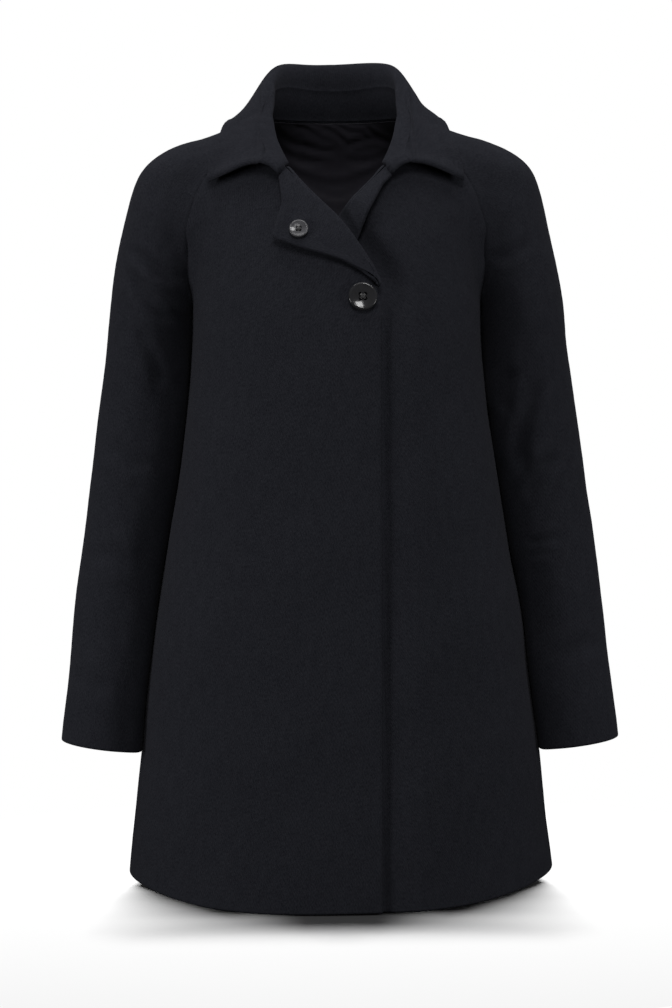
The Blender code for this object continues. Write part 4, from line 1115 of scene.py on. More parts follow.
def cloth_piece(
    node, points, normals, edges, push=0.0, wall=WALL, cloth="brushed wool", swell_out=0.0, line_at=None
):
    """One cloth piece as a closed shell on its fine grid, with the seams and turned edges it has.

    edges names how sides end, and leaves out plain ones. swell_out is the share of a turned edge's extra
    thickness that goes outwards, and line_at the distance of the pressed line that follows turned edges.
    """
    sizes = bpy.context.scene.overcoat_cloth
    material = bpy.data.materials[cloth]
    distances = edge_distances(points)
    push = np.zeros(points.shape[:-1]) + push + waves(points) * sizes.wave_share
    extra = np.zeros(push.shape)
    rounding = np.zeros(push.shape)
    for edge, kind in edges.items():
        distance = distances[edge]
        along = distances["top" if edge in ("first", "last") else "first"]
        if kind == "seam":
            push = push + seam_relief(distance, along, sizes)
        if kind == "turned":
            extra = np.maximum(extra, sizes.edge_extra * ease(EDGE_FADE_START - distance / sizes.edge_run))
            rounding = np.maximum(rounding, round_off(distance, (wall + sizes.edge_extra) / 2))
            if line_at:
                push = push - sizes.line_depth * np.exp(-(((distance - line_at) / sizes.line_width) ** 2))
    outer = points + normals * (push + extra * swell_out - rounding)[..., None]
    sunk = push * INNER_FOLLOW - wall - extra * (1 - swell_out) + rounding
    inner = points + normals * sunk[..., None]
    piece = closed_shell("cloth_" + node, outer, inner, normals, distances, material)
    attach(piece, "root")
    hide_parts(node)
    return piece


def closed_shell(name, outer, inner, normals, distances, material):
    """A closed mesh between two grids, with the cloth's own metres as its UV map."""
    rows, columns = outer.shape[:2]
    count = rows * columns
    index = np.arange(count).reshape(rows, columns)
    corners = [index[:-1, :-1], index[1:, :-1], index[1:, 1:], index[:-1, 1:]]
    faces = np.stack(corners, axis=-1).reshape(-1, 4)
    rim = np.concatenate([index[0, :-1], index[:-1, -1], index[-1, :0:-1], index[:0:-1, 0]])
    after = np.roll(rim, -1)
    sides = np.stack([rim, after, after + count, rim + count], axis=-1)
    every_face = np.concatenate([faces, faces[:, ::-1] + count, sides])
    facing = np.sum(np.cross(np.gradient(outer, axis=0), np.gradient(outer, axis=1)) * normals)
    if facing < 0:
        every_face = every_face[:, ::-1]
    across = distances["first"] * (1 if facing > 0 else -1)
    flat = np.stack([across, -distances["top"]], axis=-1).reshape(-1, 2)
    mesh = bpy.data.meshes.new(name)
    every_point = np.concatenate([outer.reshape(-1, 3), inner.reshape(-1, 3)])
    mesh.from_pydata(every_point.tolist(), [], every_face.tolist())
    layer = mesh.uv_layers.new(name="cloth")
    layer.data.foreach_set("uv", np.concatenate([flat, flat])[every_face.reshape(-1)].reshape(-1))
    mesh.shade_smooth()
    mesh.materials.append(material)
    return new_object(name, mesh)


def new_object(name, data):
    """An object in the scene for a mesh, a light or a camera."""
    obj = bpy.data.objects.new(name, data)
    bpy.context.scene.collection.objects.link(obj)
    return obj


def link(tree, *pairs):
    """Links between pairs of sockets."""
    for start, end in pairs:
        tree.links.new(start, end)


def add_node(tree, kind, name, **values):
    """A node with its named settings; a value whose name is a socket's goes to that socket."""
    node = tree.nodes.new(kind)
    node.name = node.label = name
    for key, value in values.items():
        socket = key.replace("_", " ").title()
        if hasattr(node, key):
            setattr(node, key, value)
        else:
            node.inputs[socket].default_value = value
    return node


def math_node(tree, name, operation, *values):
    """The result of a Math node on sockets or numbers."""
    node = tree.nodes.new("ShaderNodeMath")
    node.operation = operation
    node.name = node.label = name
    for place, value in enumerate(values):
        if isinstance(value, (int, float)):
            node.inputs[place].default_value = value
        else:
            tree.links.new(value, node.inputs[place])
    return node.outputs[0]


def new_group(name, kind, inputs, outputs):
    """A node group with named sockets of the given types, and its input and output nodes."""
    tree = bpy.data.node_groups.new(name, kind)
    for way, sockets in (("INPUT", inputs), ("OUTPUT", outputs)):
        for label, socket_type in sockets.items():
            tree.interface.new_socket(name=label, in_out=way, socket_type="NodeSocket" + socket_type)
    return tree, tree.nodes.new("NodeGroupInput"), tree.nodes.new("NodeGroupOutput")


def weave_group():
    """Twill: slanting ribs of yarn, broken up a little along their length."""
    inputs = {"Cloth": "Vector", "Pitch": "Float"}
    tree, start, end = new_group("twill weave", "ShaderNodeTree", inputs, {"Height": "Float"})
    turn = add_node(tree, "ShaderNodeVectorRotate", "slant", rotation_type="Z_AXIS", angle=TWILL_SLANT)
    parts = add_node(tree, "ShaderNodeSeparateXYZ", "across the ribs")
    shake = add_node(tree, "ShaderNodeTexNoise", "uneven yarn", **TWILL_YARN)
    link(tree, (start.outputs["Cloth"], turn.inputs["Vector"]), (turn.outputs[0], parts.inputs[0]))
    link(tree, (start.outputs["Cloth"], shake.inputs["Vector"]))
    ribs = math_node(tree, "ribs", "DIVIDE", parts.outputs["X"], start.outputs["Pitch"])
    wobble = math_node(tree, "wobble", "MULTIPLY", shake.outputs[0], TWILL_WOBBLE)
    shifted = math_node(tree, "shifted", "ADD", ribs, wobble)
    phase = math_node(tree, "phase", "MULTIPLY", shifted, 2 * math.pi)
    wave = math_node(tree, "rib wave", "SINE", phase)
    link(tree, (math_node(tree, "rib height", "MULTIPLY_ADD", wave, 0.5, 0.5), end.inputs["Height"]))
    return tree


def nap_group():
    """Brushed nap: fine fibres over soft patches that lie a little differently."""
    inputs, outputs = {"Cloth": "Vector", "Fibre": "Float"}, {"Fibres": "Float", "Patches": "Float"}
    tree, start, end = new_group("brushed nap", "ShaderNodeTree", inputs, outputs)
    stretch = add_node(tree, "ShaderNodeMapping", "fibres lie downwards", scale=NAP_LIE)
    fibres = add_node(tree, "ShaderNodeTexNoise", "fibres", **NAP_FIBRES)
    patches = add_node(tree, "ShaderNodeTexNoise", "patches", **NAP_PATCHES)
    link(tree, (start.outputs["Cloth"], stretch.inputs["Vector"]))
    link(tree, (start.outputs["Fibre"], fibres.inputs["Scale"]))
    link(tree, (stretch.outputs[0], fibres.inputs["Vector"]), (stretch.outputs[0], patches.inputs["Vector"]))
    link(tree, (fibres.outputs[0], end.inputs["Fibres"]), (patches.outputs[0], end.inputs["Patches"]))
    return tree


def new_material(name, finish):
    """A material whose shader has the given finish, with its node tree and that shader."""
    material = bpy.data.materials.new(name)
    material.use_nodes = True
    shader = material.node_tree.nodes["Principled BSDF"]
    for socket, value in finish.items():
        shader.inputs[socket].default_value = value
    return material, material.node_tree, shader


def group_node(tree, name, **values):
    """A node group placed in a material with its own values."""
    node = tree.nodes.new("ShaderNodeGroup")
    node.node_tree = bpy.data.node_groups[name]
    node.name = node.label = name
    for key, value in values.items():
        node.inputs[key].default_value = value
    return node


def mix_colours(tree, name, factor, dark, light, shader):
    """A mask between two colours, which go to the shader."""
    node = tree.nodes.new("ShaderNodeMix")
    node.data_type = "RGBA"
    node.name = node.label = name
    node.inputs["A"].default_value = (*dark, 1)
    node.inputs["B"].default_value = (*light, 1)
    link(tree, (factor, node.inputs["Factor"]), (node.outputs["Result"], shader.inputs["Base Color"]))


def cloth_place(tree):
    """The cloth's own metres."""
    return add_node(tree, "ShaderNodeUVMap", "cloth metres", uv_map="cloth").outputs[0]


def own_place(tree):
    """The coat's metres, for what isn't cloth."""
    return add_node(tree, "ShaderNodeTexCoord", "coat metres").outputs["Object"]


def wool_material():
    """Dark brushed wool: twill ribs under a short nap."""
    colours = bpy.context.scene.overcoat_colours
    sizes = bpy.context.scene.overcoat_cloth
    sheen = {"Sheen Weight": colours.nap_weight, "Sheen Tint": (*colours.nap, 1)}
    _, tree, shader = new_material("brushed wool", WOOL_FINISH | sheen)
    place = cloth_place(tree)
    weave = group_node(tree, "twill weave", Pitch=sizes.twill_pitch)
    nap = group_node(tree, "brushed nap", Fibre=sizes.nap_scale)
    link(tree, (place, weave.inputs["Cloth"]), (place, nap.inputs["Cloth"]))
    ribs = math_node(tree, "ribs show", "MULTIPLY", weave.outputs["Height"], WOOL_RIBS)
    fibres = math_node(tree, "fibres show", "MULTIPLY", nap.outputs["Fibres"], WOOL_FIBRES)
    patches = math_node(tree, "patches show", "MULTIPLY", nap.outputs["Patches"], WOOL_PATCHES)
    yarn = math_node(tree, "yarn", "ADD", ribs, fibres)
    shown = math_node(tree, "nap", "ADD", yarn, patches)
    mask = math_node(tree, "nap mask", "SUBTRACT", shown, WOOL_MASK_START)
    mix_colours(tree, "wool colour", mask, colours.wool_dark, colours.wool_light, shader)
    height = math_node(tree, "cloth height", "ADD", ribs, nap.outputs["Fibres"])
    bump = add_node(tree, "ShaderNodeBump", "cloth relief", **WOOL_RELIEF)
    link(tree, (height, bump.inputs["Height"]), (bump.outputs[0], shader.inputs["Normal"]))


def satin_material():
    """Black satin lining: fine close threads and a soft gloss."""
    satin = bpy.context.scene.overcoat_colours.satin
    _, tree, shader = new_material("black satin", SATIN_FINISH)
    nap = group_node(tree, "brushed nap", Fibre=SATIN_FIBRES)
    link(tree, (cloth_place(tree), nap.inputs["Cloth"]))
    dark = tuple(c * SATIN_DARK for c in satin)
    mix_colours(tree, "satin colour", nap.outputs["Patches"], dark, satin, shader)
    threads = nap.outputs["Fibres"]
    rough = math_node(tree, "thread gloss", "MULTIPLY_ADD", threads, SATIN_THREADS, SATIN_ROUGHNESS)
    bump = add_node(tree, "ShaderNodeBump", "thread relief", **SATIN_RELIEF)
    link(tree, (rough, shader.inputs["Roughness"]), (threads, bump.inputs["Height"]))
    link(tree, (bump.outputs[0], shader.inputs["Normal"]))


def horn_material(name, paler, gloss):
    """Polished dark horn: cloudy grey over near black, under a clear gloss."""
    horn = bpy.context.scene.overcoat_colours.horn
    _, tree, shader = new_material(name, {"Specular IOR Level": gloss})
    place = own_place(tree)
    clouds = add_node(tree, "ShaderNodeTexNoise", "clouds", **HORN_CLOUDS)
    scuffs = add_node(tree, "ShaderNodeTexNoise", "scuffs", **HORN_GRAIN)
    link(tree, (place, clouds.inputs["Vector"]), (place, scuffs.inputs["Vector"]))
    mix_colours(tree, "horn colour", clouds.outputs[0], horn, tuple(c * paler for c in horn), shader)
    rough = math_node(tree, "polish", "MULTIPLY_ADD", scuffs.outputs[0], HORN_SCUFFS, HORN_POLISH)
    link(tree, (rough, shader.inputs["Roughness"]))


def thread_material():
    """Twisted black sewing thread."""
    thread = bpy.context.scene.overcoat_colours.thread
    _, tree, shader = new_material("thread", THREAD_FINISH)
    twist = add_node(tree, "ShaderNodeTexNoise", "twist", **THREAD_TWIST)
    link(tree, (own_place(tree), twist.inputs["Vector"]))
    dark = tuple(c * THREAD_DARK for c in thread)
    mix_colours(tree, "thread colour", twist.outputs[0], dark, thread, shader)


def thread_tree():
    """Strands of thread that cross a button between its holes, in two layers at right angles."""
    sizes = {"Hole Reach": "Float", "Strand Radius": "Float", "Rise": "Float", "Strands": "Int"}
    inputs = sizes | {"Thread": "Material"}
    tree, start, end = new_group("button thread", "GeometryNodeTree", inputs, {"Geometry": "Geometry"})
    reach, radius = start.outputs["Hole Reach"], start.outputs["Strand Radius"]
    ends = []
    for sign in (-1.0, 1.0):
        corner = tree.nodes.new("ShaderNodeCombineXYZ")
        link(tree, (math_node(tree, "hole", "MULTIPLY", reach, sign), corner.inputs["X"]))
        ends.append(corner.outputs[0])
    line = tree.nodes.new("GeometryNodeCurvePrimitiveLine")
    link(tree, (ends[0], line.inputs["Start"]), (ends[1], line.inputs["End"]))
    resample = tree.nodes.new("GeometryNodeResampleCurve")
    resample.inputs["Count"].default_value = THREAD_POINTS
    copies = tree.nodes.new("GeometryNodeDuplicateElements")
    copies.domain = "SPLINE"
    link(tree, (line.outputs[0], resample.inputs["Curve"]), (resample.outputs[0], copies.inputs["Geometry"]))
    link(tree, (start.outputs["Strands"], copies.inputs["Amount"]))
    along = tree.nodes.new("GeometryNodeSplineParameter").outputs["Factor"]
    swing = math_node(tree, "from the middle", "MULTIPLY_ADD", along, 2.0, -1.0)
    off_middle = math_node(tree, "off the middle", "ABSOLUTE", swing)
    dip = math_node(tree, "dip into the hole", "POWER", off_middle, THREAD_DIP_POWER)
    arch = math_node(tree, "arch", "SUBTRACT", 1.0, dip)
    rise = math_node(tree, "rise", "MULTIPLY", arch, start.outputs["Rise"])
    last = math_node(tree, "last strand", "SUBTRACT", start.outputs["Strands"], 1.0)
    half = math_node(tree, "middle strand", "MULTIPLY", last, 0.5)
    row = math_node(tree, "strand", "SUBTRACT", copies.outputs["Duplicate Index"], half)
    aside = math_node(tree, "aside", "MULTIPLY", row, radius)
    side = math_node(tree, "side by side", "MULTIPLY", aside, STRAND_SPACING)
    move = tree.nodes.new("ShaderNodeCombineXYZ")
    link(tree, (side, move.inputs["Y"]), (rise, move.inputs["Z"]))
    place = tree.nodes.new("GeometryNodeSetPosition")
    link(tree, (copies.outputs["Geometry"], place.inputs["Geometry"]))
    link(tree, (move.outputs[0], place.inputs["Offset"]))
    ring = tree.nodes.new("GeometryNodeCurvePrimitiveCircle")
    ring.inputs["Resolution"].default_value = THREAD_SIDES
    link(tree, (radius, ring.inputs["Radius"]))
    strand = tree.nodes.new("GeometryNodeCurveToMesh")
    strand.inputs["Fill Caps"].default_value = True
    link(tree, (place.outputs[0], strand.inputs["Curve"]), (ring.outputs[0], strand.inputs["Profile Curve"]))
    layers = tree.nodes.new("GeometryNodeMeshLine")
    layers.inputs["Count"].default_value = THREAD_LAYERS
    lift = tree.nodes.new("ShaderNodeCombineXYZ")
    link(tree, (math_node(tree, "layer", "MULTIPLY", radius, LAYER_SPACING), lift.inputs["Z"]))
    link(tree, (lift.outputs[0], layers.inputs["Offset"]))
    which = tree.nodes.new("GeometryNodeInputIndex").outputs[0]
    quarter = math_node(tree, "quarter turn", "MULTIPLY", which, math.pi / 2)
    turn = tree.nodes.new("ShaderNodeCombineXYZ")
    link(tree, (quarter, turn.inputs["Z"]))
    cross = tree.nodes.new("GeometryNodeInstanceOnPoints")
    link(tree, (layers.outputs[0], cross.inputs["Points"]), (strand.outputs[0], cross.inputs["Instance"]))
    link(tree, (turn.outputs[0], cross.inputs["Rotation"]))
    real = tree.nodes.new("GeometryNodeRealizeInstances")
    paint = tree.nodes.new("GeometryNodeSetMaterial")
    link(tree, (cross.outputs[0], real.inputs[0]), (real.outputs[0], paint.inputs["Geometry"]))
    link(tree, (start.outputs["Thread"], paint.inputs["Material"]))
    link(tree, (paint.outputs[0], end.inputs["Geometry"]))
    return tree


def settled_mesh(obj, name):
    """An object's evaluated mesh as a plain one, with the object removed."""
    evaluated = obj.evaluated_get(bpy.context.evaluated_depsgraph_get())
    mesh = bpy.data.meshes.new_from_object(evaluated)
    mesh.name = name
    old = obj.data
    bpy.data.objects.remove(obj)
    bpy.data.meshes.remove(old)
    return mesh


def button_thread(name, size, place):
    """A button's thread as a mesh in place."""
    obj = new_object(name, bpy.data.meshes.new(name))
    modifier = obj.modifiers.new("thread", "NODES")
    modifier.node_group = bpy.data.node_groups["button thread"]
    values = {
        "Hole Reach": size["diameter"] * HOLE_SPACING_SHARE,
        "Strand Radius": THREAD_RADIUS,
        "Rise": size["thickness"] * THREAD_RISE_SHARE,
        "Strands": THREAD_STRANDS,
        "Thread": bpy.data.materials["thread"],
    }
    for socket in modifier.node_group.interface.items_tree:
        if socket.in_out == "INPUT":
            modifier[socket.identifier] = values[socket.name]
    level = Matrix.Translation((0.0, 0.0, size["thickness"] * BUTTON_FLOOR_SHARE))
    thread = settled_mesh(obj, name)
    thread.transform(place @ Matrix.Rotation(THREAD_TURN, 4, "Z") @ level)
    return thread


def turned_mesh(name, profile, sides):
    """A closed mesh turned from a profile of reach and level pairs, from the middle back to the middle."""
    mesh = bpy.data.meshes.new(name)
    form = bmesh.new()
    points = [form.verts.new((reach, 0.0, level)) for reach, level in profile]
    edges = [form.edges.new(pair) for pair in zip(points, points[1:])]
    whole = {"cent": (0, 0, 0), "axis": (0, 0, 1), "angle": 2 * math.pi, "use_merge": True}
    bmesh.ops.spin(form, geom=points + edges, steps=sides, **whole)
    bmesh.ops.remove_doubles(form, verts=form.verts, dist=MERGE_REACH)
    bmesh.ops.recalc_face_normals(form, faces=form.faces)
    form.to_mesh(mesh)
    form.free()
    return mesh


def button_piece(node, size, seat, normal, horn):
    """A turned button with flared holes, its back on the seat, and its thread."""
    radius, thickness = size["diameter"] / 2, size["thickness"]
    place = Vector(normal).to_track_quat("Z", "Y").to_matrix().to_4x4()
    place.translation = Vector(seat)
    profile = [(r * radius, z * thickness) for r, z in BUTTON_PROFILE]
    obj = new_object(node + "_turned", turned_mesh(node + "_turned", profile, BUTTON_SIDES))
    hole, mouth = size["diameter"] * HOLE_SHARE, size["diameter"] * HOLE_MOUTH_SHARE
    floor = thickness * BUTTON_FLOOR_SHARE
    below, above = -thickness, thickness * 2
    flare = ((hole, floor * HOLE_FLARE_START), (mouth, floor * HOLE_FLARE_END))
    cut = ((0.0, below), (hole, below), *flare, (mouth, above), (0.0, above))
    cutter_mesh = turned_mesh(node + "_hole", cut, HOLE_SIDES)
    reach = size["diameter"] * HOLE_SPACING_SHARE
    cutters = []
    for i in range(HOLE_COUNT):
        angle = (i + 0.5) * 2 * math.pi / HOLE_COUNT
        cutter = new_object(f"{node}_hole_{i + 1}", cutter_mesh)
        cutter.location = (reach * math.cos(angle), reach * math.sin(angle), 0.0)
        cutters.append(cutter)
        drill = obj.modifiers.new(cutter.name, "BOOLEAN")
        drill.operation = "DIFFERENCE"
        drill.object = cutter
    mesh = settled_mesh(obj, "horn_" + node)
    for cutter in cutters:
        bpy.data.objects.remove(cutter)
    bpy.data.meshes.remove(cutter_mesh)
    mesh.transform(place)
    mesh.materials.clear()
    mesh.materials.append(bpy.data.materials[horn])
    mesh.shade_smooth()
    mesh.set_sharp_from_angle(angle=BUTTON_SHARP_TURN)
    piece = new_object("horn_" + node, mesh)
    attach(piece, "root")
    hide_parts(node)
    thread = new_object("thread_" + node, button_thread("thread_" + node, size, place))
    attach(thread, "root")


class OvercoatCloth(bpy.types.PropertyGroup):
    """Sizes of the cloth's surface."""

    step: FloatProperty(
        name="Step", description="Distance between lines of points", default=0.0042, unit="LENGTH"
    )
    sleeve_step: FloatProperty(
        name="Sleeve step", description="The same on the sleeves", default=0.0036, unit="LENGTH"
    )
    collar_step: FloatProperty(
        name="Collar step", description="The same on the collar", default=0.0020, unit="LENGTH"
    )
    seam_depth: FloatProperty(
        name="Seam depth", description="How far cloth dips into a seam", default=0.0005, unit="LENGTH"
    )
    seam_width: FloatProperty(
        name="Seam width", description="How wide the dip is", default=0.0017, unit="LENGTH"
    )
    seam_swell: FloatProperty(
        name="Seam swell", description="Height of the swell over the turnings", default=0.00018, unit="LENGTH"
    )
    edge_extra: FloatProperty(
        name="Edge thickness", description="What a turned edge adds", default=0.0018, unit="LENGTH"
    )
    edge_run: FloatProperty(
        name="Edge run", description="How far in the turning reaches", default=0.014, unit="LENGTH"
    )
    line_depth: FloatProperty(
        name="Line depth", description="Depth of the pressed line by an edge", default=0.0005, unit="LENGTH"
    )
    line_width: FloatProperty(
        name="Line width", description="Width of that line", default=0.0014, unit="LENGTH"
    )
    wave_share: FloatProperty(
        name="Waves", description="Share of the broad waves", default=1.0, subtype="FACTOR"
    )
    twill_pitch: FloatProperty(
        name="Twill pitch", description="Distance between twill ribs", default=0.0021, unit="LENGTH"
    )
    nap_scale: FloatProperty(name="Nap scale", description="Fibres in a metre of cloth", default=800.0)


class OvercoatColours(bpy.types.PropertyGroup):
    """Colours of the cloth and the buttons."""

    wool_dark: FloatVectorProperty(
        name="Wool, dark", description="Between the fibres", subtype="COLOR", default=(0.0040, 0.0042, 0.0058)
    )
    wool_light: FloatVectorProperty(
        name="Wool, light", description="On the fibres", subtype="COLOR", default=(0.0172, 0.0179, 0.0217)
    )
    nap: FloatVectorProperty(
        name="Nap", description="Tint of the nap's sheen", subtype="COLOR", default=(0.95, 0.92, 1.0)
    )
    nap_weight: FloatProperty(
        name="Nap weight", description="Strength of the nap's sheen", default=0.01, subtype="FACTOR"
    )
    satin: FloatVectorProperty(
        name="Satin", description="Lining", subtype="COLOR", default=(0.0186, 0.0174, 0.0229)
    )
    horn: FloatVectorProperty(
        name="Horn", description="Buttons", subtype="COLOR", default=(0.0080, 0.0080, 0.0086)
    )
    thread: FloatVectorProperty(
        name="Thread", description="Button thread", subtype="COLOR", default=(0.008, 0.008, 0.009)
    )


class OvercoatStage(bpy.types.PropertyGroup):
    """Camera, light and floor."""

    camera: FloatVectorProperty(
        name="Camera",
        description="Where the camera stands",
        subtype="XYZ",
        unit="LENGTH",
        default=(-0.0021, -2.6, -0.318),
    )
    focal: FloatProperty(
        name="Focal length", description="In pixels of a 672 by 1008 picture", default=FOCAL_PIXELS
    )
    drop: FloatProperty(
        name="Drop",
        description="How far below level it looks",
        subtype="ANGLE",
        default=math.atan(DROP_PIXELS / FOCAL_PIXELS),
    )
    roll: FloatProperty(
        name="Roll", description="How far it leans", subtype="ANGLE", default=math.radians(-0.45)
    )
    floor_gap: FloatProperty(
        name="Floor gap", description="Gap between hem and floor", unit="LENGTH", default=0.0005
    )
    floor_reach: FloatProperty(
        name="Floor reach", description="Radius of the floor", unit="LENGTH", default=0.62
    )
    floor_bounce: FloatProperty(
        name="Floor bounce", description="Share of light the floor throws back up", default=0.08
    )
    above: FloatProperty(
        name="Light above", description="Power of the broad light overhead", unit="POWER", default=128.0
    )
    ahead: FloatProperty(
        name="Light ahead", description="Power of the light high ahead", unit="POWER", default=56.5
    )
    sides: FloatProperty(
        name="Side lights", description="Power of the stronger light at the side", unit="POWER", default=36.0
    )
    glint: FloatProperty(
        name="Glint", description="Power of the small light for the buttons", unit="POWER", default=96.0
    )
    floor_light: FloatProperty(
        name="Floor light", description="Power of the light for the floor", unit="POWER", default=200.0
    )
    sky: FloatProperty(name="Sky", description="Strength of the light from all round", default=0.05)


class OVERCOAT_OT_materials(bpy.types.Operator):
    """Make the wool, the satin, the horn and the thread"""

    bl_idname = "overcoat.materials"
    bl_label = "Materials"

    def execute(self, context):
        weave_group()
        nap_group()
        wool_material()
        satin_material()
        for name, (paler, gloss) in HORNS.items():
            horn_material(name, paler, gloss)
        thread_material()
        return {"FINISHED"}


class OVERCOAT_OT_fronts(bpy.types.Operator):
    """Lay wool over the two fronts"""

    bl_idname = "overcoat.fronts"
    bl_label = "Fronts"

    def execute(self, context):
        step = context.scene.overcoat_cloth.step
        edges = {"top": "seam", "first": "seam", "bottom": "turned", "last": "turned"}
        for node, tuck, side, turn_over in (
            ("front_right", False, -1, mirrored),
            ("front_left", True, 1, np.array),
        ):
            points, normals = drawn_out(*front_guide(tuck, side), step)
            points, normals = turn_over(points), turn_over(normals)
            push = creases(points, FRONT_CREASES)
            if tuck:
                push = push - edge_groove(points)
            cloth_piece(node, points, normals, edges, push)
        return {"FINISHED"}


class OVERCOAT_OT_back(bpy.types.Operator):
    """Lay wool over the back"""

    bl_idname = "overcoat.back"
    bl_label = "Back"

    def execute(self, context):
        points, normals = drawn_out(*back_guide(), context.scene.overcoat_cloth.step)
        cloth_piece("back", points, normals, SEWN_EDGES, creases(points, BACK_CREASES))
        return {"FINISHED"}


class OVERCOAT_OT_sleeves(bpy.types.Operator):
    """Lay wool over the four sleeve halves"""

    bl_idname = "overcoat.sleeves"
    bl_label = "Sleeves"

    def execute(self, context):
        sizes = context.scene.overcoat_cloth
        for half, front, rows in (("front", True, FRONT_CREASES), ("back", False, BACK_CREASES)):
            guide, guide_normals = drawn_out(*sleeve_guide(front), sizes.sleeve_step)
            for side, turn_over in (("right", mirrored), ("left", np.array)):
                points, normals = turn_over(guide), turn_over(guide_normals)
                off_seam = ease(edge_distances(points)["first"] / SLEEVE_CREASE_RUN)
                push = creases(points, rows) * off_seam * SLEEVE_CREASE_SHARE
                # Towards the body the waves are turned over, so that they follow the body's own
                inward = ease(-normals[..., 0] * np.sign(points[..., 0]) / INNER_FACING)
                push = push - 2 * waves(points) * sizes.wave_share * inward
                cloth_piece(f"sleeve_{side}_{half}", points, normals, SEWN_EDGES, push)
        return {"FINISHED"}


class OVERCOAT_OT_collar(bpy.types.Operator):
    """Lay wool over the collar's stand and leaf"""

    bl_idname = "overcoat.collar"
    bl_label = "Collar"

    def execute(self, context):
        step = context.scene.overcoat_cloth.collar_step
        points, normals = collar_middle(False, step)
        edges = {"top": "seam", "bottom": "seam", "first": "turned", "last": "turned"}
        cloth_piece("collar_stand", points + normals * WALL / 2, normals, edges)
        points, normals = collar_middle(True, step)
        edges = {"top": "seam", "bottom": "turned", "first": "turned", "last": "turned"}
        points = points + normals * COLLAR_WALL / 2
        across, back, _ = np.moveaxis(points, -1, 0)
        beside_neck = ease((LEAF_SEAM_BACK - back) / LEAF_SEAM_RUN)
        push = creases(points, LEAF_CREASES) + creases(points, LEAF_SEAM_ROWS) * beside_neck
        ahead = ease((-back - LEAF_ARCH_AHEAD) / LEAF_ARCH_FADE)
        arch = np.exp(-(((np.abs(across) - LEAF_ARCH_AT) / LEAF_ARCH_WIDTH) ** 2))
        near_edge = np.exp(-((edge_distances(points)["bottom"] / LEAF_ARCH_RUN) ** 2))
        push = push + LEAF_ARCH_LIFT * arch * near_edge * ahead
        finish = {"swell_out": EDGE_SWELL_OUT, "line_at": LEAF_LINE}
        cloth_piece("collar_leaf", points, normals, edges, push, COLLAR_WALL, **finish)
        return {"FINISHED"}


class OVERCOAT_OT_lapels(bpy.types.Operator):
    """Lay wool over the turned-back neck corners"""

    bl_idname = "overcoat.lapels"
    bl_label = "Lapels"

    def execute(self, context):
        edges = {"bottom": "turned", "first": "turned", "last": "turned"}
        for node, rows, end, tuck, turn_over in (
            ("lapel_right", LAPEL_RIGHT_ROWS, 1.0, False, mirrored),
            ("lapel_left", LAPEL_LEFT_ROWS, LAPEL_LEFT_END, True, np.array),
        ):
            grid = lapel_middle(rows, end, tuck)
            normals = grid_normals(grid)
            normals = normals * -np.sign(normals[-1, :, 1].mean())
            points = turn_over(grid + normals * WALL / 2)
            cloth_piece(node, points, turn_over(normals), edges, swell_out=EDGE_SWELL_OUT)
        return {"FINISHED"}


class OVERCOAT_OT_lining(bpy.types.Operator):
    """Hang the satin lining inside the back"""

    bl_idname = "overcoat.lining"
    bl_label = "Lining"

    def execute(self, context):
        points, normals = drawn_out(*lining_guide(), context.scene.overcoat_cloth.step)
        points = points - normals * (WALL + LINING_GAP)
        push = np.minimum(-creases(points, LINING_CREASES), LINING_CREASE_RISE)
        push = push + LINING_TUCK * np.exp(-((edge_distances(points)["top"] / LINING_TUCK_RUN) ** 2))
        cloth_piece("lining_back", points, normals, {}, push, LINING_WALL, "black satin")
        return {"FINISHED"}


class OVERCOAT_OT_buttons(bpy.types.Operator):
    """Turn the two buttons and sew them on"""

    bl_idname = "overcoat.buttons"
    bl_label = "Buttons"

    def execute(self, context):
        thread_tree()
        seat, normal = at_front(-LARGE_BUTTON["across"], LARGE_BUTTON["height"])
        seat, normal = mirrored(seat), mirrored(normal)
        seat = seat + normal * LARGE_BUTTON_STALK
        button_piece("button_large", LARGE_BUTTON, seat, normal, "horn")
        seat, normal = lapel_seat(SMALL_BUTTON["across"], SMALL_BUTTON["height"])
        seat = seat + normal * SMALL_BUTTON_STALK
        button_piece("button_small", SMALL_BUTTON, seat, normal, "grey horn")
        return {"FINISHED"}


def area_light(name, power):
    """One of the lights, in its place and aimed."""
    place, aim, width, height = LIGHTS[name]
    light = bpy.data.lights.new(name, "AREA")
    light.shape = "RECTANGLE"
    light.size, light.size_y = width, height
    light.energy = power
    obj = new_object(name, light)
    obj.location = place
    obj.rotation_euler = (Vector(aim) - Vector(place)).to_track_quat("-Z", "Y").to_euler()
    return obj.light_linking


def linked(name, pieces, state):
    """A collection that keeps a light to some pieces or off them."""
    collection = bpy.data.collections.new(name)
    for piece in pieces:
        collection.objects.link(bpy.data.objects[piece])
    for member in collection.collection_objects:
        member.light_linking.link_state = state
    return collection


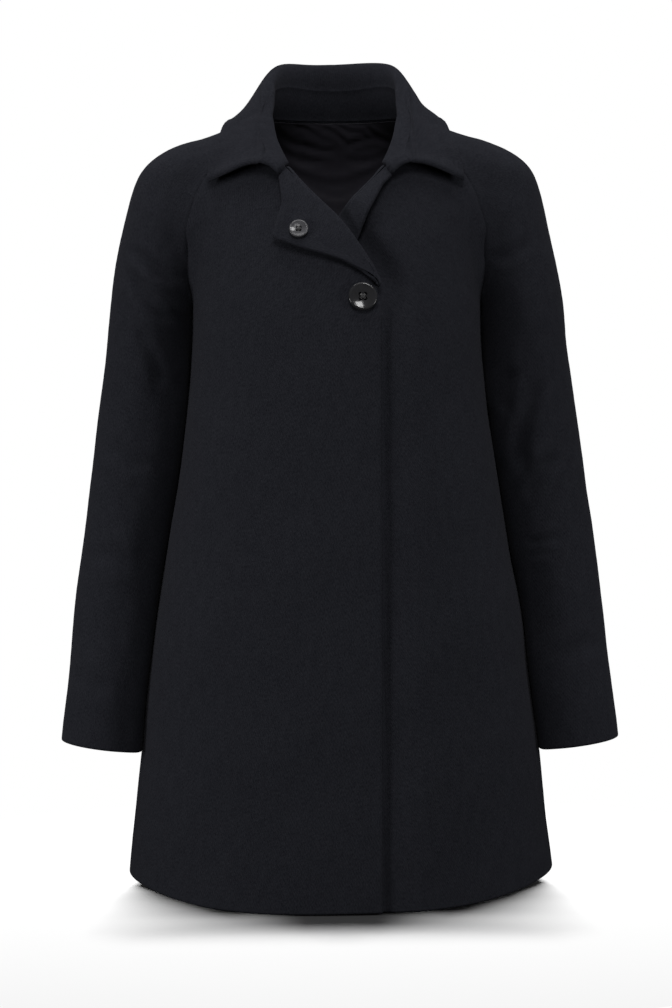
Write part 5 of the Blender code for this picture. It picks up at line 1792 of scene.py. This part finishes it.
class OVERCOAT_OT_stage(bpy.types.Operator):
    """Set up the camera, the soft light and the pale floor"""

    bl_idname = "overcoat.stage"
    bl_label = "Stage"

    def execute(self, context):
        stage = context.scene.overcoat_stage
        self.set_camera(context, stage)
        self.set_sky(context, stage)
        self.set_floor(context, stage)
        self.set_lights(stage)
        return {"FINISHED"}

    def set_lights(self, stage):
        """Lights for the cloth, one for the buttons and one for the floor with the lining's shadow alone."""
        cloth = linked("all but the floor", ("floor",), "EXCLUDE")
        area_light("above", stage.above).receiver_collection = cloth
        dull = linked("cloth alone", ("floor", "horn_button_large"), "EXCLUDE")
        area_light("ahead", stage.ahead).receiver_collection = dull
        area_light("side_right", stage.sides).receiver_collection = cloth
        area_light("side_left", stage.sides * SIDE_LEFT_SHARE).receiver_collection = cloth
        buttons = ("horn_button_large", "horn_button_small")
        area_light("glint", stage.glint).receiver_collection = linked("the buttons alone", buttons, "INCLUDE")
        floor_light = area_light("floor_light", stage.floor_light)
        floor_light.receiver_collection = linked("the floor alone", ("floor",), "INCLUDE")
        floor_light.blocker_collection = linked("the lining alone", ("cloth_lining_back",), "INCLUDE")

    def set_camera(self, context, stage):
        """The camera, turned down and leaning a little."""
        camera = bpy.data.cameras.new("camera")
        camera.sensor_width = SENSOR_WIDTH
        camera.lens = stage.focal / PICTURE_HEIGHT * camera.sensor_width
        obj = new_object("camera", camera)
        obj.location = stage.camera
        look = Matrix.Rotation(math.pi / 2 - stage.drop, 3, "X") @ Matrix.Rotation(stage.roll, 3, "Z")
        obj.rotation_euler = look.to_euler()
        context.scene.camera = obj
        context.scene.view_settings.view_transform = "Standard"

    def set_sky(self, context, stage):
        """Even light from all round, shown as plain white."""
        world = bpy.data.worlds.new("studio")
        world.use_nodes = True
        tree = world.node_tree
        glow = tree.nodes["Background"]
        glow.inputs["Color"].default_value = (1.0, 1.0, 1.0, 1.0)
        seen = add_node(tree, "ShaderNodeLightPath", "seen or lighting").outputs["Is Camera Ray"]
        strength = math_node(tree, "strength", "MULTIPLY_ADD", seen, 1.0 - stage.sky, stage.sky)
        link(tree, (strength, glow.inputs["Strength"]))
        context.scene.world = world

    def set_floor(self, context, stage):
        """A round pale floor under the hem, darker as light than it looks."""
        level = CAD_BOX[0][2] - stage.floor_gap
        mesh = bpy.data.meshes.new("floor")
        turns = stages(FLOOR_SIDES)[:-1] * 2 * math.pi
        corners = [(stage.floor_reach * math.cos(t), stage.floor_reach * math.sin(t), level) for t in turns]
        mesh.from_pydata(corners, [], [list(range(len(corners)))])
        material, tree, shader = new_material("floor", FLOOR_FINISH)
        seen = add_node(tree, "ShaderNodeLightPath", "seen or lighting").outputs["Is Camera Ray"]
        mix_colours(tree, "floor shade", seen, (stage.floor_bounce,) * 3, (FLOOR_SHADE,) * 3, shader)
        mesh.materials.append(material)
        floor = new_object("floor", mesh)


class OVERCOAT_PT_sidebar(bpy.types.Panel):
    """The overcoat's pieces and sizes"""

    bl_label = "Overcoat"
    bl_idname = "OVERCOAT_PT_sidebar"
    bl_space_type = "VIEW_3D"
    bl_region_type = "UI"
    bl_category = "Overcoat"

    def draw(self, context):
        for operator in OPERATORS:
            self.layout.operator(operator.bl_idname)
        for group in GROUPS:
            box = self.layout.box()
            for name in group.__annotations__:
                box.prop(getattr(context.scene, GROUPS[group]), name)


OPERATORS = (
    OVERCOAT_OT_materials,
    OVERCOAT_OT_fronts,
    OVERCOAT_OT_back,
    OVERCOAT_OT_sleeves,
    OVERCOAT_OT_collar,
    OVERCOAT_OT_lapels,
    OVERCOAT_OT_lining,
    OVERCOAT_OT_buttons,
    OVERCOAT_OT_stage,
)
GROUPS = {
    OvercoatCloth: "overcoat_cloth",
    OvercoatColours: "overcoat_colours",
    OvercoatStage: "overcoat_stage",
}


def register():
    for group, name in GROUPS.items():
        bpy.utils.register_class(group)
        setattr(bpy.types.Scene, name, PointerProperty(type=group))
    for item in (*OPERATORS, OVERCOAT_PT_sidebar):
        bpy.utils.register_class(item)


def unregister():
    for item in (OVERCOAT_PT_sidebar, *reversed(OPERATORS)):
        bpy.utils.unregister_class(item)
    for group, name in GROUPS.items():
        delattr(bpy.types.Scene, name)
        bpy.utils.unregister_class(group)


def main():
    register()
    bpy.ops.overcoat.materials()
    bpy.ops.overcoat.fronts()
    bpy.ops.overcoat.back()
    bpy.ops.overcoat.sleeves()
    bpy.ops.overcoat.collar()
    bpy.ops.overcoat.lapels()
    bpy.ops.overcoat.lining()
    bpy.ops.overcoat.buttons()
    bpy.ops.overcoat.stage()


if __name__ == "__main__":
    main()
